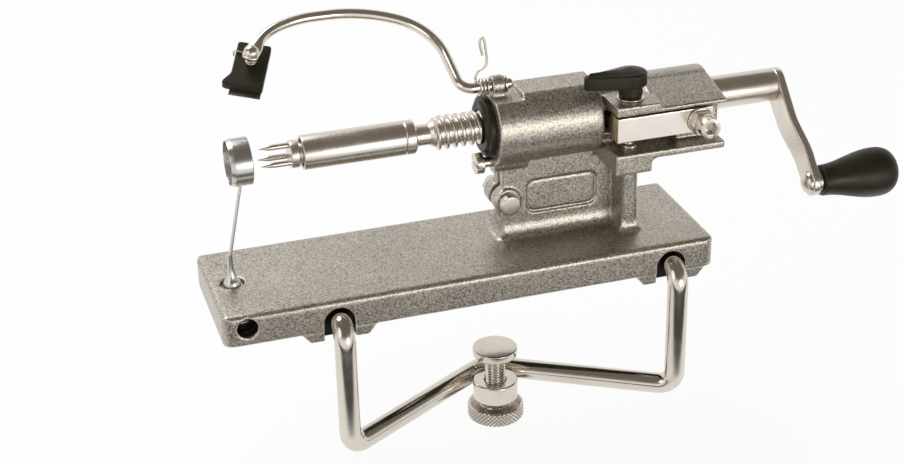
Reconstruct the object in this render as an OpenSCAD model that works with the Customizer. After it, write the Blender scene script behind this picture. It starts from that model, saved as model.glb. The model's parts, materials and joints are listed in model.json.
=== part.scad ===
// Hand-cranked apple peeler that clamps to a table edge.
// Spindle along X with the crank at +X, back of the machine at +Y, table top at Z = 0.

/* [Base] */
// Length of the base along the spindle
base_l = 240; // [232:1:270]
// Depth of the base from front to back
base_d = 68; // [66:1:90]
// Height of the base's top face above the table
base_top = 20; // [19:0.5:24]
// Gap between the table and the skirt of the base
skirt_gap = 5; // [3:0.5:6]
// Thickness of the base's side walls
wall_t = 5; // [3.5:0.5:6]
// Thickness of the base's top plate
plate_t = 4.5; // [3.5:0.5:5]
// Radius of the base's upright corners
corner_r = 5; // [2:0.5:8]
// Radius of the base's top edges
edge_r = 2.5; // [1:0.5:4]
// Length of a foot along the base
foot_l = 28; // [24:1:36]
// Depth of a foot
foot_d = 16; // [10:1:20]
// Diameter of the foot under the middle of the base
centre_foot_d = 18; // [14:1:22]
// Run of the slope at each end of a foot
foot_run = 4.5; // [2:0.5:8]

/* [Column] */
// Left end of the column
web_x0 = 24; // [22:0.5:30]
// Length of the column along the spindle
web_l = 57; // [50:1:60]
// Thickness of the column
web_t = 14; // [12:0.5:18]
// Thickness of the cross rib under the rear block
rib_t = 8.5; // [6:0.5:10]
// How far the cross rib stands in front of the column
rib_front = 13; // [8:0.5:18]
// Width of the framed panel
panel_w = 36; // [24:1:40]
// Height of the framed panel
panel_h = 17.5; // [12:0.5:20]
// Depth of the framed panel
panel_depth = 1; // [0.5:0.1:1.5]
// Corner radius of the framed panel
panel_r = 4; // [2:0.5:6]
// Width of the frame's groove
panel_rim = 1.6; // [1:0.1:2.5]
// Width of the slit that lets the barrel nip the bush
slit_w = 3; // [2:0.5:4]
// Diameter of the clamp bolt's boss
clamp_boss_d = 13; // [11.5:0.5:15]
// Diameter of the clamp bolt's shank
clamp_bolt_d = 6; // [5:0.5:6.5]
// Diameter of the clamp bolt's head
clamp_head_d = 9.6; // [8.5:0.2:11]

/* [Barrel] */
// Height of the spindle axis above the table
axis_z = 80; // [78:0.5:90]
// Diameter of the front barrel
barrel_d = 38; // [36:0.5:42]
// Front end of the barrel
barrel_x0 = 17; // [15:0.5:18]
// Length of the barrel
barrel_l = 51; // [46:0.5:51.5]
// Height of the barrel's flat above the spindle axis
flat_h = 17.2; // [16.5:0.1:17.2]
// Height of the ledge under the peel arm above the spindle axis
ledge_h = 15; // [14.5:0.1:15.2]
// Diameter of the front bush's flange
flange_d = 28.6; // [26:0.2:28.8]
// Thickness of the front bush's flange
flange_t = 4.5; // [3:0.5:4.8]
// Outer diameter of both bushes
bush_d = 22; // [20.5:0.1:22.4]
// Length of the front bush in the barrel
bush_l = 16; // [12:1:20]

/* [Rear block] */
// Diameter of the round housing of the rear block
housing_d = 30.4; // [29.5:0.1:32]
// Left end of the rear block
block_x0 = 70; // [69.5:0.5:71]
// Length of the rear block
block_l = 55; // [55:0.5:60]
// Distance from the spindle axis to the block's front faces
block_front = 29; // [28.6:0.1:30]
// Height of the channel's floor below the spindle axis
floor_drop = 12.4; // [10.5:0.1:13]
// Height of the channel's ceiling above the spindle axis
ceil_h = 6.9; // [6.7:0.1:7.4]
// Thickness of the lever pad
pad_t = 4.8; // [4:0.1:5.2]
// Length of the lever pad and of the shelf's thick part
pad_l = 22; // [20:0.5:24]
// Thickness of the shelf under the lever
shelf_t = 10; // [8:0.5:12]
// Thickness of the rest of the shelf
thin_t = 3.6; // [3:0.1:5]
// Thickness of the front edge of the sloped cover
cover_edge = 2.2; // [1.6:0.1:3]
// Distance of the bar's seat from the adjusting screw
seat_dx = 7.6; // [6:0.1:8.5]
// Depth of the rear bush's seat
rear_bush_l = 12; // [8:0.5:12]

/* [Spindle] */
// Diameter of the shaft and of the feed screw
shaft_d = 16; // [15.8:0.1:16.1]
// Travel of the feed screw in one turn of the crank
thread_lead = 4; // [3.8:0.1:4.6]
// Depth of the thread
thread_depth = 1.75; // [1.6:0.05:1.9]
// Width of the thread's crest
crest_w = 1.3; // [0.9:0.1:1.4]
// Width of the thread's flank along the axis
flank_w = 0.6; // [0.5:0.05:0.65]
// Start of the feed screw
thread_x0 = -10.3; // [-11:0.1:-9]
// Length of the feed screw
thread_l = 123; // [120:1:124]
// Diameter of the core rod under the feed screw
core_d = 10.4; // [9.9:0.1:10.8]
// Diameter of the front rod that carries the sleeve
neck_d = 9.7; // [9:0.1:9.8]
// Left face of the crank on the shaft
crank_x = 163; // [160:0.5:166]

/* [Fork and sleeve] */
// Front end of the fork's prongs
fork_x = -92; // [-94:0.5:-88]
// Diameter of the fork's hub
fork_hub_d = 12.9; // [12:0.1:13]
// Thickness of the fork's hub
fork_hub_t = 4; // [3:0.5:5]
// Diameter of a prong
prong_d = 2.6; // [2:0.1:3]
// Radius on which the prongs stand
prong_r = 4.6; // [4:0.1:4.8]
// Front end of the ejector sleeve
sleeve_x0 = -72.5; // [-73:0.5:-68]
// Seam between the sleeve and its ring
seam_x = -24.4; // [-26:0.2:-24]
// Length of the ejector ring
ring_l = 5.5; // [4:0.5:6]
// Outer diameter of the ejector sleeve
sleeve_d = 16; // [15.6:0.1:16.4]
// Inner diameter of the ejector sleeve
sleeve_bore = 13.3; // [13.2:0.05:13.6]

/* [Crank] */
// Radius of the crank from the shaft to the grip
crank_r = 52.5; // [44:0.5:56]
// Angle of the crank below the front horizontal
crank_angle = 45; // [30:1:60]
// Thickness of the crank strip
crank_t = 4; // [3:0.5:5]
// Width of the crank strip at the shaft
crank_w0 = 16; // [15:0.5:18]
// Width of the crank strip at the grip
crank_w1 = 13.5; // [12:0.5:16]
// Outward step of the crank strip
joggle = 3; // [1:0.5:5]
// Diameter of the crank's screw
crank_bolt_d = 8; // [6:0.5:9]
// Diameter of the crank screw's low head
crank_head_d = 11.5; // [10:0.5:13]
// Height of the crank screw's low head
crank_head_h = 1.8; // [1.2:0.1:3]
// Diameter of the grip's pin
pin_d = 7; // [6:0.5:8]
// Diameter of the pin's domed head
rivet_d = 11; // [9.5:0.5:12]
// Length of the grip
grip_l = 40; // [36:1:48]
// Largest diameter of the grip
grip_d = 24; // [22:0.5:27]
// Diameter of the grip's neck
grip_neck_d = 15; // [13:0.5:16]

/* [Release] */
// Distance of the lever's axis from the block's left end
lever_dx = 10.5; // [10.2:0.1:10.8]
// Distance of the lever's axis in front of the spindle axis
lever_dy = 18.5; // [18.3:0.1:18.6]
// Diameter of the lever stem
stem_d = 8; // [7.6:0.1:8]
// Offset of the stem's eccentric
stem_ecc = 1.4; // [1:0.1:1.4]
// Length of the lever from its axis to its tip
lever_l = 23; // [18:0.5:28]
// Diameter of the lever's hub
lever_hub_d = 15; // [12:0.5:17]
// Diameter of the lever's tip
lever_tip_d = 5; // [4:0.5:8]
// Height of the lever
lever_h = 8; // [6:0.5:10]
// Height of the lever's collar
lever_collar_h = 6; // [3.5:0.5:8]
// Height of the nut bar
bar_h = 12.2; // [11:0.1:12.6]
// Thickness of the nut bar behind its face plate
bar_t = 6.5; // [6.3:0.1:6.6]
// Thickness of the bar's face plate
face_t = 2.5; // [1.5:0.1:2.5]
// Length of the nut bar
bar_l = 48; // [44:0.5:52]
// Distance of the adjusting screw from the bar's right end
adjust_dx = 6.6; // [6.2:0.1:8]
// Diameter of the adjusting screw
adjust_d = 8; // [7:0.5:8]
// Width across flats of the adjusting nut
adjust_af = 11; // [10.5:0.5:13]
// Thickness of the adjusting nut
adjust_nut_t = 3.5; // [3:0.5:5]
// Diameter of the washer under the adjusting nut
adjust_washer_d = 13; // [12.8:0.2:16]
// Length of the adjusting screw's socket head
adjust_out = 6.5; // [5:0.5:8]
// Diameter of the adjusting screw's socket head
adjust_head_d = 9.8; // [9:0.2:10.4]

/* [Peel arm] */
// Diameter of the arm rod
rod_d = 5; // [4.8:0.1:5]
// Height of the arm's tail above the spindle axis
tail_h = 19.7; // [19.7:0.1:20.2]
// Lean of the arm to the back from upright
arm_lean = 62; // [58:1:64]
// End of the arm's tail
tail_x = 29.5; // [29:0.5:31]
// Length of the tail before its bend
tail_l = 19.5; // [19:0.5:20]
// Bend radius at the end of the tail
tail_bend = 6; // [5:0.5:7]
// Straight rise of the arm above its tail
arm_rise = 16; // [14:0.5:20]
// Bend radius of the arch's shoulder
shoulder_r = 32.4; // [28:0.2:36]
// Bend radius of the arch's crown
crown_r = 66; // [60:1:72]
// Straight length behind the crown
arm_run = 6; // [3:0.5:9]
// Bend radius where the arm starts to drop
drop_r = 50; // [44:1:56]
// Bend radius above the knife head
neck_r = 30; // [26:1:34]
// Distance of the eye from the end of the bend
eye_reach = 4.5; // [4:0.1:5.5]
// Diameter of the eye
eye_d = 7.4; // [6.6:0.2:8.4]
// Diameter of the knife head's pivot
pivot_d = 3; // [2.4:0.2:3.4]
// Start of the tail's bearing lug
lug_x = 18.4; // [18.2:0.1:19]
// Length of the tail's bearing lug
lug_l = 6; // [4:0.5:6.2]
// Diameter of the bearing lug
lug_d = 9.2; // [8.6:0.1:10]
// Diameter of the spring wire on the tail
arm_wire_d = 1.2; // [1:0.1:1.2]
// Number of turns of the spring on the tail
arm_turns = 3; // [2:1:3]
// Pitch of the spring on the tail
arm_pitch = 1.65; // [1.65:0.01:1.66]
// Height of the spring's hook above the tail
hook_h = 22.5; // [18:0.5:26]
// Turn of the knife head in the plane of the arm
head_tilt = 22; // [16:1:28]
// Width of the knife holder
holder_w = 15.6; // [14:0.2:18]
// Height of the knife holder above its pivot
holder_up = 11.9; // [8:0.2:14]
// Height of the knife holder below its pivot
holder_down = 15; // [13.5:0.5:17]
// Thickness of the knife holder
holder_t = 4; // [3.2:0.2:5]
// Flare of the knife holder's lower left corner
holder_flare = 3.5; // [1.5:0.5:5]
// Thickness of the peel blade
blade_t = 1; // [0.8:0.1:1.5]
// How far the peel blade stands out of the holder
blade_out = 3; // [2:0.5:4]

/* [Slicing knife] */
// Distance of the knife's stem from the base's left end
knife_dx = 11.2; // [11:0.1:13]
// Diameter of the knife's stem
knife_d = 8; // [6:0.5:8]
// Diameter of the opening around the stem in the base's top
knife_hole_d = 11.5; // [10:0.5:12.5]
// Lean of the knife's blade towards the spindle
knife_lean = 12; // [8:0.5:13]
// Thickness of the knife's blade
knife_t = 1.4; // [1.2:0.1:2]
// Width of the knife's blade
knife_w = 2.6; // [2.2:0.1:4]
// Inner diameter of the coring ring
core_ring_d = 20; // [19:0.5:22]
// Wall of the coring ring
core_ring_t = 1; // [0.8:0.1:1.5]
// Length of the coring ring
core_ring_l = 10; // [8:0.5:12]
// Diameter of the knife's set screw
set_screw_d = 7; // [5.5:0.5:7.5]
// Length of the knife's set screw
set_screw_l = 20; // [12:0.5:22]
// Diameter of the set screw's opening in the front wall
set_hole_d = 9.6; // [9:0.2:10.4]

/* [Clamp] */
// Diameter of the clamp bow's rod
bow_d = 10; // [9:0.5:10.5]
// Centre of the clamp bow along the base
bow_x = 15.5; // [12:0.5:18]
// Half the distance between the bow's legs
bow_half = 82; // [80:0.5:84]
// Distance of the legs in front of the base
leg_gap = 8; // [7.5:0.5:10]
// Height of the bow's straight ends above the table
bow_z = 9.5; // [9.2:0.1:9.8]
// Depth of the bow's lower part below the table
bow_drop = 53.5; // [50:0.5:60]
// Angle of the bow's lower arms from the base's length
bow_v = 31; // [29:0.5:33]
// Bend radius of the bow
bow_bend = 8; // [8:0.5:9]
// Bend radius of the bow's apex
apex_bend = 14; // [11:1:18]
// Diameter of the clamp's threaded boss
boss_d = 22; // [20:0.5:24]
// Height of the clamp's threaded boss
boss_h = 10; // [8:0.5:11]
// Diameter of the clamp screw
screw_d = 10; // [8:0.5:10.5]
// Diameter of the clamp knob
knob_d = 28; // [24:0.5:32]
// Height of the clamp knob
knob_h = 7.5; // [6:0.5:12]
// Number of grooves round the clamp knob
knob_grooves = 18; // [12:1:22]
// Diameter of the clamp pad
pad_d = 22; // [16:0.5:24]
// Thickness of the clamp pad
clamp_pad_t = 5; // [4.5:0.5:6]
// Thickness of the table that the clamp stands at
table_t = 33; // [31:0.5:34]

/* [Fits] */
// Radial clearance of a running fit
run_c = 0.05; // [0.03:0.01:0.08]
// Radial clearance of a pressed or screwed fit
press_c = 0.02; // [0.02:0.01:0.04]
// Gap between faces that move past each other
face_c = 0.4; // [0.3:0.05:0.5]

/* [Hidden] */
$fn = 64;
eps = 0.01;
front_y = -base_d / 2;
base_x0 = -base_l / 2;
shaft_r = shaft_d / 2;
barrel_x1 = barrel_x0 + barrel_l;
block_x1 = block_x0 + block_l;
pad_x1 = block_x0 + pad_l;
flange_x0 = barrel_x0 - flange_t;
housing_r = housing_d / 2;
floor_z = axis_z - floor_drop;
ceil_z = axis_z + ceil_h;
bush_bore_r = shaft_r + run_c + 0.03;
screw_bore_r = shaft_r + 0.6;
rear_bush_x = block_x1 - rear_bush_l;
web_x1 = web_x0 + web_l;
rib_top = floor_z - shelf_t + 1;
panel_x = (web_x0 + web_x1) / 2 + 1.5;
panel_z = base_top + 19.8;
clamp_x = web_x0 + 2;
clamp_z = base_top + 19.5;
clamp_back = web_t + 2;
clamp_front = 1.5;
clamp_head_h = 5;
bush_screw_d = 5;
bush_screw_head_d = 10;
bush_screw_head_h = 3.8;
bush_screw_l = 14;
bush_screw_y = -4;
bush_screw_z = axis_z - sqrt(pow(flange_d / 2 + bush_screw_d / 2 + 0.3, 2) - 16);
bar_z = axis_z + ceil_h - 0.6 - bar_h / 2;
bar_y1 = -block_front + face_t;
bar_back = bar_y1 + bar_t;
seat_y = bar_back + face_c;
stem_x = block_x0 + lever_dx;
stem_y = -lever_dy;
spigot_r = 2.5;
bar_x0 = block_x0 + 0.2;
adjust_x = bar_x0 + bar_l - adjust_dx;
seat_x0 = adjust_x - seat_dx;
adjust_y0 = -block_front - face_c;
washer_t = 1.2;
channel_back = -13.5;
lug_r = lug_d / 2;
rod_r = rod_d / 2;
tail_z = axis_z + tail_h;
ledge_x1 = tail_x + 1.5;
knife_x = base_x0 + knife_dx;
set_z = base_top - 6.5;
socket_len = 25;
bow_r = bow_d / 2;
leg_y = front_y - leg_gap;
arch_r = bow_r + 2.3;
arch_top = bow_z + arch_r - 0.8;
thread_x1 = thread_x0 + thread_l;
root_r = shaft_r - thread_depth;
tooth_x = block_x0 + 3.2;

cast_c = [0.56, 0.53, 0.49];
steel_c = [0.80, 0.77, 0.72];
black_c = [0.13, 0.12, 0.11];
bronze_c = [0.62, 0.50, 0.33];

// Points of an arc in a plane
function arc(cx, cy, r, a0, a1, n) =
  [for (i = [0:n]) [cx + r * cos(a0 + (a1 - a0) * i / n), cy + r * sin(a0 + (a1 - a0) * i / n)]];

// Outline of a rectangle with rounded corners
function round_rect(x0, y0, x1, y1, r) = concat(
  arc(x1 - r, y1 - r, r, 0, 90, 6), arc(x0 + r, y1 - r, r, 90, 180, 6),
  arc(x0 + r, y0 + r, r, 180, 270, 6), arc(x1 - r, y0 + r, r, 270, 360, 6));

// Cylinder along X
module xcyl(x0, x1, r, y, z) {
  translate([x0, y, z]) rotate([0, 90, 0]) cylinder(h = x1 - x0, r = r);
}

// Cylinder along Y
module ycyl(y0, y1, r, x, z) {
  translate([x, y0, z]) rotate([-90, 0, 0]) cylinder(h = y1 - y0, r = r);
}

// Cylinder along Z
module zcyl(z0, z1, r, x, y) {
  translate([x, y, z0]) cylinder(h = z1 - z0, r = r);
}

// Box from one corner to the other
module box(x0, y0, z0, x1, y1, z1) {
  translate([x0, y0, z0]) cube([x1 - x0, y1 - y0, z1 - z0]);
}

// Solid of revolution about an axis along X, from points of position and radius
module xturn(pts, y, z) {
  translate([0, y, z]) rotate([0, 90, 0]) rotate_extrude() polygon([for (p = pts) [p[1], p[0]]]);
}

// Prism along Y of an outline in X and Z
module yprism(pts, y0, y1) {
  translate([0, y1, 0]) rotate([90, 0, 0]) linear_extrude(height = y1 - y0) polygon(pts);
}

// Prism along X of an outline in Y and Z
module xprism(pts, x0, x1) {
  translate([x0, 0, 0]) rotate([90, 0, 90]) linear_extrude(height = x1 - x0) polygon(pts);
}

// Position and heading in the plane of the arm after the bends
function adv(segs, i, x, z, h) = i >= len(segs) ? [x, z, h] :
  let (s = segs[i], k = sign(s[2]), x1 = x - s[0] * cos(h), z1 = z + s[0] * sin(h))
  adv(segs, i + 1, x1 - s[1] * k * (sin(h + s[2]) - sin(h)),
    z1 + s[1] * k * (cos(h) - cos(h + s[2])), h + s[2]);

// Wire swept along points
function unit(v) = v / norm(v);
function tang(p, i) = unit(p[min(i + 1, len(p) - 1)] - p[max(i - 1, 0)]);
function side(p, i, n) = let (t = tang(p, i)) unit(n - (n * t) * t);
function sides(p, i, n) = i >= len(p) ? [] :
  let (m = side(p, i, n)) concat([m], sides(p, i + 1, m));
module wire(p, d, k, n0) {
  ns = sides(p, 0, n0);
  pts = [for (i = [0:len(p) - 1]) let (t = tang(p, i), b = cross(t, ns[i])) for (j = [0:k - 1])
    p[i] + d / 2 * (cos(360 * j / k) * ns[i] + sin(360 * j / k) * b)];
  m = len(p);
  walls = [for (i = [0:m - 2]) for (j = [0:k - 1]) let (a = i * k + j, b = i * k + (j + 1) % k)
    each [[a, a + k, b + k], [a, b + k, b]]];
  start = [for (j = [0:k - 1]) j];
  end = [for (j = [0:k - 1]) (m - 1) * k + (k - 1 - j)];
  polyhedron(points = pts, faces = concat(walls, [start, end]));
}

// Least distance between turns of a wire, leaving out its near neighbours
function self_gap(p, d, skip) = min([for (i = [0:len(p) - 1]) for (j = [i + skip:1:len(p) - 1])
  norm(p[i] - p[j])]) - d;

module base_body() {
  under = base_top - plate_t;
  side_pts = function (h) concat(arc(h - edge_r, base_top - edge_r, edge_r, 0, 90, 4),
    arc(edge_r - h, base_top - edge_r, edge_r, 90, 180, 4), [[-h, skirt_gap], [h, skirt_gap]]);
  difference() {
    intersection() {
      linear_extrude(height = base_top)
        polygon(round_rect(base_x0, front_y, -base_x0, -front_y, corner_r));
      yprism(side_pts(base_l / 2), front_y, -front_y);
      xprism(side_pts(base_d / 2), base_x0, -base_x0);
    }
    translate([0, 0, -1]) linear_extrude(height = under + 1)
      polygon(round_rect(base_x0 + wall_t, front_y + wall_t, -base_x0 - wall_t, -front_y - wall_t, 3));
  }
  for (s = [-1, 1]) {
    fx = bow_x + s * bow_half;
    foot = [[fx - foot_l / 2, 0], [fx + foot_l / 2, 0],
      [fx + foot_l / 2 + foot_run, skirt_gap + 0.6], [fx + foot_l / 2 + foot_run - 2, skirt_gap + 4],
      [fx - foot_l / 2 - foot_run + 2, skirt_gap + 4], [fx - foot_l / 2 - foot_run, skirt_gap + 0.6]];
    yprism(foot, front_y + 0.6, front_y + foot_d);
    yprism(foot, -front_y - foot_d, -front_y - 0.6);
    box(fx - 9, front_y + wall_t - 1, 1, fx + 9, front_y + wall_t + socket_len + 3, under + 1);
  }
  zcyl(0, under + 1, centre_foot_d / 2, 0, 0);
  zcyl(skirt_gap + 1, under + 1, knife_d / 2 + 5, knife_x, 0);
  box(knife_x - 6.8, front_y + wall_t - 1, skirt_gap + 1, knife_x + 6.8, 0, under + 1);
}

module column() {
  box(web_x0, 0, base_top - 1, web_x1, web_t, axis_z - 7);
  rib_x0 = web_x1 - 1;
  rib_x1 = rib_x0 + rib_t;
  translate([0, 0, base_top - 1]) linear_extrude(height = rib_top - base_top + 1)
    polygon(concat([[rib_x1, web_t], [rib_x0, web_t]],
      arc(rib_x0 + edge_r, edge_r - rib_front, edge_r, 180, 270, 5),
      arc(rib_x1 - edge_r, edge_r - rib_front, edge_r, 270, 360, 5)));
  ycyl(-clamp_front, clamp_back, clamp_boss_d / 2, clamp_x, clamp_z);
}

module rear_block() {
  xcyl(barrel_x1 - 8, block_x1, housing_r, 0, axis_z);
  xprism([[1, ceil_z], [-block_front, ceil_z], [-block_front, ceil_z + pad_t], [1, ceil_z + pad_t]],
    block_x0, pad_x1);
  xprism([[1, ceil_z], [-block_front, ceil_z], [-block_front, ceil_z + cover_edge],
    [-3.7, axis_z + housing_r - 0.7], [1, axis_z + housing_r - 0.7]], pad_x1 - 1, block_x1);
  box(block_x0, -block_front, floor_z - shelf_t, pad_x1 - 4, web_t - 2, floor_z);
  box(block_x0 + 1, -block_front, floor_z - thin_t, block_x1, 2, floor_z);
  box(seat_x0, seat_y, floor_z - 1, block_x1, 0, ceil_z + 1);
}

module casting() {
  color(cast_c) difference() {
    union() {
      base_body();
      column();
      difference() {
        xcyl(barrel_x0, barrel_x1, barrel_d / 2, 0, axis_z);
        box(ledge_x1, -barrel_d, axis_z + flat_h, barrel_x1 + 1, barrel_d, axis_z + barrel_d);
        box(barrel_x0 - 1, -barrel_d, axis_z + ledge_h, ledge_x1 + eps, barrel_d, axis_z + barrel_d);
      }
      difference() {
        rear_block();
        box(block_x0 - 0.5, -block_front - 1, floor_z, seat_x0, channel_back, ceil_z);
      }
      xcyl(lug_x, lug_x + lug_l, lug_r, 0, tail_z);
      box(lug_x, -lug_r + 0.4, axis_z + ledge_h - 1, lug_x + lug_l, lug_r - 0.4, tail_z);
      xcyl(barrel_x0, barrel_x0 + bush_screw_l + 3, bush_screw_d / 2 + 3, bush_screw_y, bush_screw_z);
    }
    xcyl(barrel_x0 - 1, barrel_x0 + bush_l + 0.5, bush_d / 2 + press_c, 0, axis_z);
    xcyl(barrel_x0 + bush_l, barrel_x1 - 6, bush_d / 2 - 1, 0, axis_z);
    xcyl(barrel_x1 - 7, block_x1, screw_bore_r, 0, axis_z);
    xcyl(rear_bush_x, block_x1 + 1, bush_d / 2 + run_c, 0, axis_z);
    box(block_x0 - 0.6, -block_front, bar_z - bar_h / 2 - 0.6, block_x0 + 8, 0, ceil_z - eps);
    box(barrel_x0 - 10, web_t / 2 - slit_w / 2, base_top + 5, web_x0 + 20, web_t / 2 + slit_w / 2,
      axis_z - 9);
    ycyl(-clamp_front - 1, clamp_back + 1, clamp_bolt_d / 2 + 0.1, clamp_x, clamp_z);
    xcyl(barrel_x0 - 1, barrel_x0 + bush_screw_l + 1, bush_screw_d / 2 + press_c, bush_screw_y,
      bush_screw_z);
    panel_cut();
    zcyl(floor_z - 4, ceil_z + pad_t + 1, stem_d / 2 + run_c, stem_x, stem_y);
    ycyl(seat_y - 1, -11, adjust_d / 2 + press_c, adjust_x, bar_z);
    xcyl(lug_x - 1, lug_x + lug_l + 1, rod_r + run_c, 0, tail_z);
    zcyl(skirt_gap + 3, base_top + 1, knife_d / 2 + press_c, knife_x, 0);
    zcyl(base_top - 3, base_top + 1, knife_hole_d / 2, knife_x, 0);
    ycyl(front_y - 1, 0, set_screw_d / 2 + press_c, knife_x, set_z);
    ycyl(front_y - 1, -set_screw_l - knife_d / 2 - 1.5, set_hole_d / 2, knife_x, set_z);
    for (s = [-1, 1]) {
      fx = bow_x + s * bow_half;
      ycyl(front_y + wall_t - 2, front_y + wall_t + socket_len, bow_r + run_c, fx, bow_z);
      yprism(concat(arc(fx, arch_top - arch_r, arch_r, 0, 180, 12), [[fx - arch_r, -1], [fx + arch_r, -1]]),
        front_y - 1, front_y + wall_t);
    }
  }
}

// Framed panel: a groove round a field that lies back a little less
module panel_cut() {
  px = panel_w / 2;
  pz = panel_h / 2;
  translate([panel_x, panel_depth, panel_z]) rotate([90, 0, 0]) linear_extrude(height = panel_depth + 1)
    difference() {
      polygon(round_rect(-px, -pz, px, pz, panel_r));
      polygon(round_rect(panel_rim - px, panel_rim - pz, px - panel_rim, pz - panel_rim,
        panel_r - panel_rim + 0.6));
    }
  translate([panel_x, panel_depth / 2, panel_z]) rotate([90, 0, 0])
    linear_extrude(height = panel_depth / 2 + 1)
      polygon(round_rect(panel_rim - px - 0.1, panel_rim - pz - 0.1, px - panel_rim + 0.1,
        pz - panel_rim + 0.1, panel_r - panel_rim + 0.6));
}

module front_bush() {
  color(black_c) difference() {
    xturn([[flange_x0, shaft_r + 1], [flange_x0, flange_d / 2 - 2.5], [flange_x0 + 1.5, flange_d / 2 - 1],
      [flange_x0 + 1.5, flange_d / 2], [barrel_x0, flange_d / 2], [barrel_x0, bush_d / 2],
      [barrel_x0 + bush_l, bush_d / 2], [barrel_x0 + bush_l, shaft_r + 1]], 0, axis_z);
    xcyl(flange_x0 - 1, barrel_x0 + bush_l + 1, bush_bore_r, 0, axis_z);
  }
}

module bush_screw() {
  color(steel_c) difference() {
    union() {
      xcyl(flange_x0 - bush_screw_head_h, flange_x0, bush_screw_head_d / 2, bush_screw_y, bush_screw_z);
      xcyl(flange_x0 - 1, barrel_x0 + bush_screw_l, bush_screw_d / 2, bush_screw_y, bush_screw_z);
    }
    box(flange_x0 - bush_screw_head_h - 1, bush_screw_y - bush_screw_head_d, bush_screw_z - 0.7,
      flange_x0 - bush_screw_head_h + 1.8, bush_screw_y + bush_screw_head_d, bush_screw_z + 0.7);
  }
}

module bush_clamp_bolt() {
  color(steel_c) {
    ycyl(-clamp_front - clamp_head_h, -clamp_front, clamp_head_d / 2, clamp_x, clamp_z);
    ycyl(-clamp_front - 1, clamp_back + 6, clamp_bolt_d / 2, clamp_x, clamp_z);
  }
}

module bush_clamp_nut() {
  color(steel_c) difference() {
    translate([clamp_x, clamp_back, clamp_z]) rotate([-90, 0, 0])
      cylinder(h = 4.6, r = clamp_bolt_d * 0.96, $fn = 6);
    ycyl(clamp_back - 1, clamp_back + 6, clamp_bolt_d / 2 + press_c, clamp_x, clamp_z);
  }
}

module slicing_knife() {
  ring_r = core_ring_d / 2 + core_ring_t;
  top_z = base_top + 15;
  blade_h = (axis_z - ring_r + core_ring_t / 2 - top_z + 2) / cos(knife_lean);
  ring_x = knife_x + (blade_h - 1) * sin(knife_lean);
  color(steel_c) {
    zcyl(skirt_gap + 3.4, base_top + 1, knife_d / 2, knife_x, 0);
    translate([knife_x, 0, base_top + 1]) cylinder(h = 13.5, r1 = knife_d / 2, r2 = 1.6);
    translate([knife_x, 0, top_z - 2]) rotate([0, knife_lean, 0])
      translate([-knife_t / 2, -knife_w / 2, 0]) cube([knife_t, knife_w, blade_h]);
    difference() {
      xcyl(ring_x - core_ring_l / 2, ring_x + core_ring_l / 2, ring_r, 0, axis_z);
      xcyl(ring_x - core_ring_l, ring_x + core_ring_l, core_ring_d / 2, 0, axis_z);
    }
  }
}

module knife_set_screw() {
  y1 = -knife_d / 2 - press_c;
  color(steel_c) difference() {
    ycyl(y1 - set_screw_l, y1, set_screw_d / 2, knife_x, set_z);
    translate([knife_x, y1 - set_screw_l - 1, set_z]) rotate([-90, 0, 0])
      cylinder(h = 5, r = set_screw_d * 0.27, $fn = 6);
  }
}

module adjust_screw() {
  y0 = adjust_y0 - washer_t - adjust_nut_t - adjust_out;
  color(steel_c) difference() {
    union() {
      ycyl(y0, y0 + adjust_out, adjust_head_d / 2, adjust_x, bar_z);
      ycyl(y0 + 1, -11.5, adjust_d / 2, adjust_x, bar_z);
    }
    translate([adjust_x, y0 - 1, bar_z]) rotate([-90, 0, 0])
      cylinder(h = 5, r = adjust_head_d * 0.32, $fn = 6);
  }
}

module adjust_nut() {
  y1 = adjust_y0 - washer_t;
  color(steel_c) difference() {
    translate([adjust_x, y1 - adjust_nut_t, bar_z]) rotate([-90, 0, 0])
      cylinder(h = adjust_nut_t, r = adjust_af / sqrt(3), $fn = 6);
    ycyl(y1 - adjust_nut_t - 1, y1 + 1, adjust_d / 2 + press_c, adjust_x, bar_z);
  }
}

module adjust_washer() {
  color(steel_c) difference() {
    ycyl(adjust_y0 - washer_t, adjust_y0, adjust_washer_d / 2, adjust_x, bar_z);
    ycyl(adjust_y0 - washer_t - 1, adjust_y0 + 1, adjust_d / 2 + press_c, adjust_x, bar_z);
  }
}

// Torsion spring on the arm's tail with an upright hook
spring_r = rod_r + 0.35 + arm_wire_d / 2;
spring_x0 = lug_x - 1 - arm_turns * arm_pitch - arm_wire_d / 2 + 0.55;
hook_path = [[3.4, hook_h - 8.5], [2.2, hook_h - 2.8], [2.6, hook_h - 0.6], [3.5, hook_h],
  [4.3, hook_h - 1], [5, hook_h - 6], [5.5, hook_h - 10.7], [4.6, hook_h - 14], [1.3, hook_h - 16.2],
  [-0.1, hook_h - 18.6], [0, hook_h - 21]];
arm_path = concat([for (h = hook_path) [spring_x0 + h[0], spring_r, tail_z + h[1]]],
  [for (i = [0:8 * arm_turns]) [spring_x0 + arm_pitch * i / 8, spring_r * cos(-45 * i),
    tail_z + spring_r * sin(-45 * i)]],
  [[spring_x0 + arm_pitch * arm_turns, spring_r, tail_z - 2.2],
    [spring_x0 + arm_pitch * arm_turns, spring_r, tail_z - 3.4]]);
echo(str("arm_spring least gap ", self_gap(arm_path, arm_wire_d, 5)));

module arm_spring() {
  color(steel_c) wire(arm_path, arm_wire_d, 6, [0, 1, 0]);
}

module rear_bush() {
  color(bronze_c) difference() {
    xcyl(rear_bush_x + 0.1, block_x1, bush_d / 2, 0, axis_z);
    xcyl(rear_bush_x - 1, block_x1 + 1, bush_bore_r, 0, axis_z);
  }
}

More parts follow.
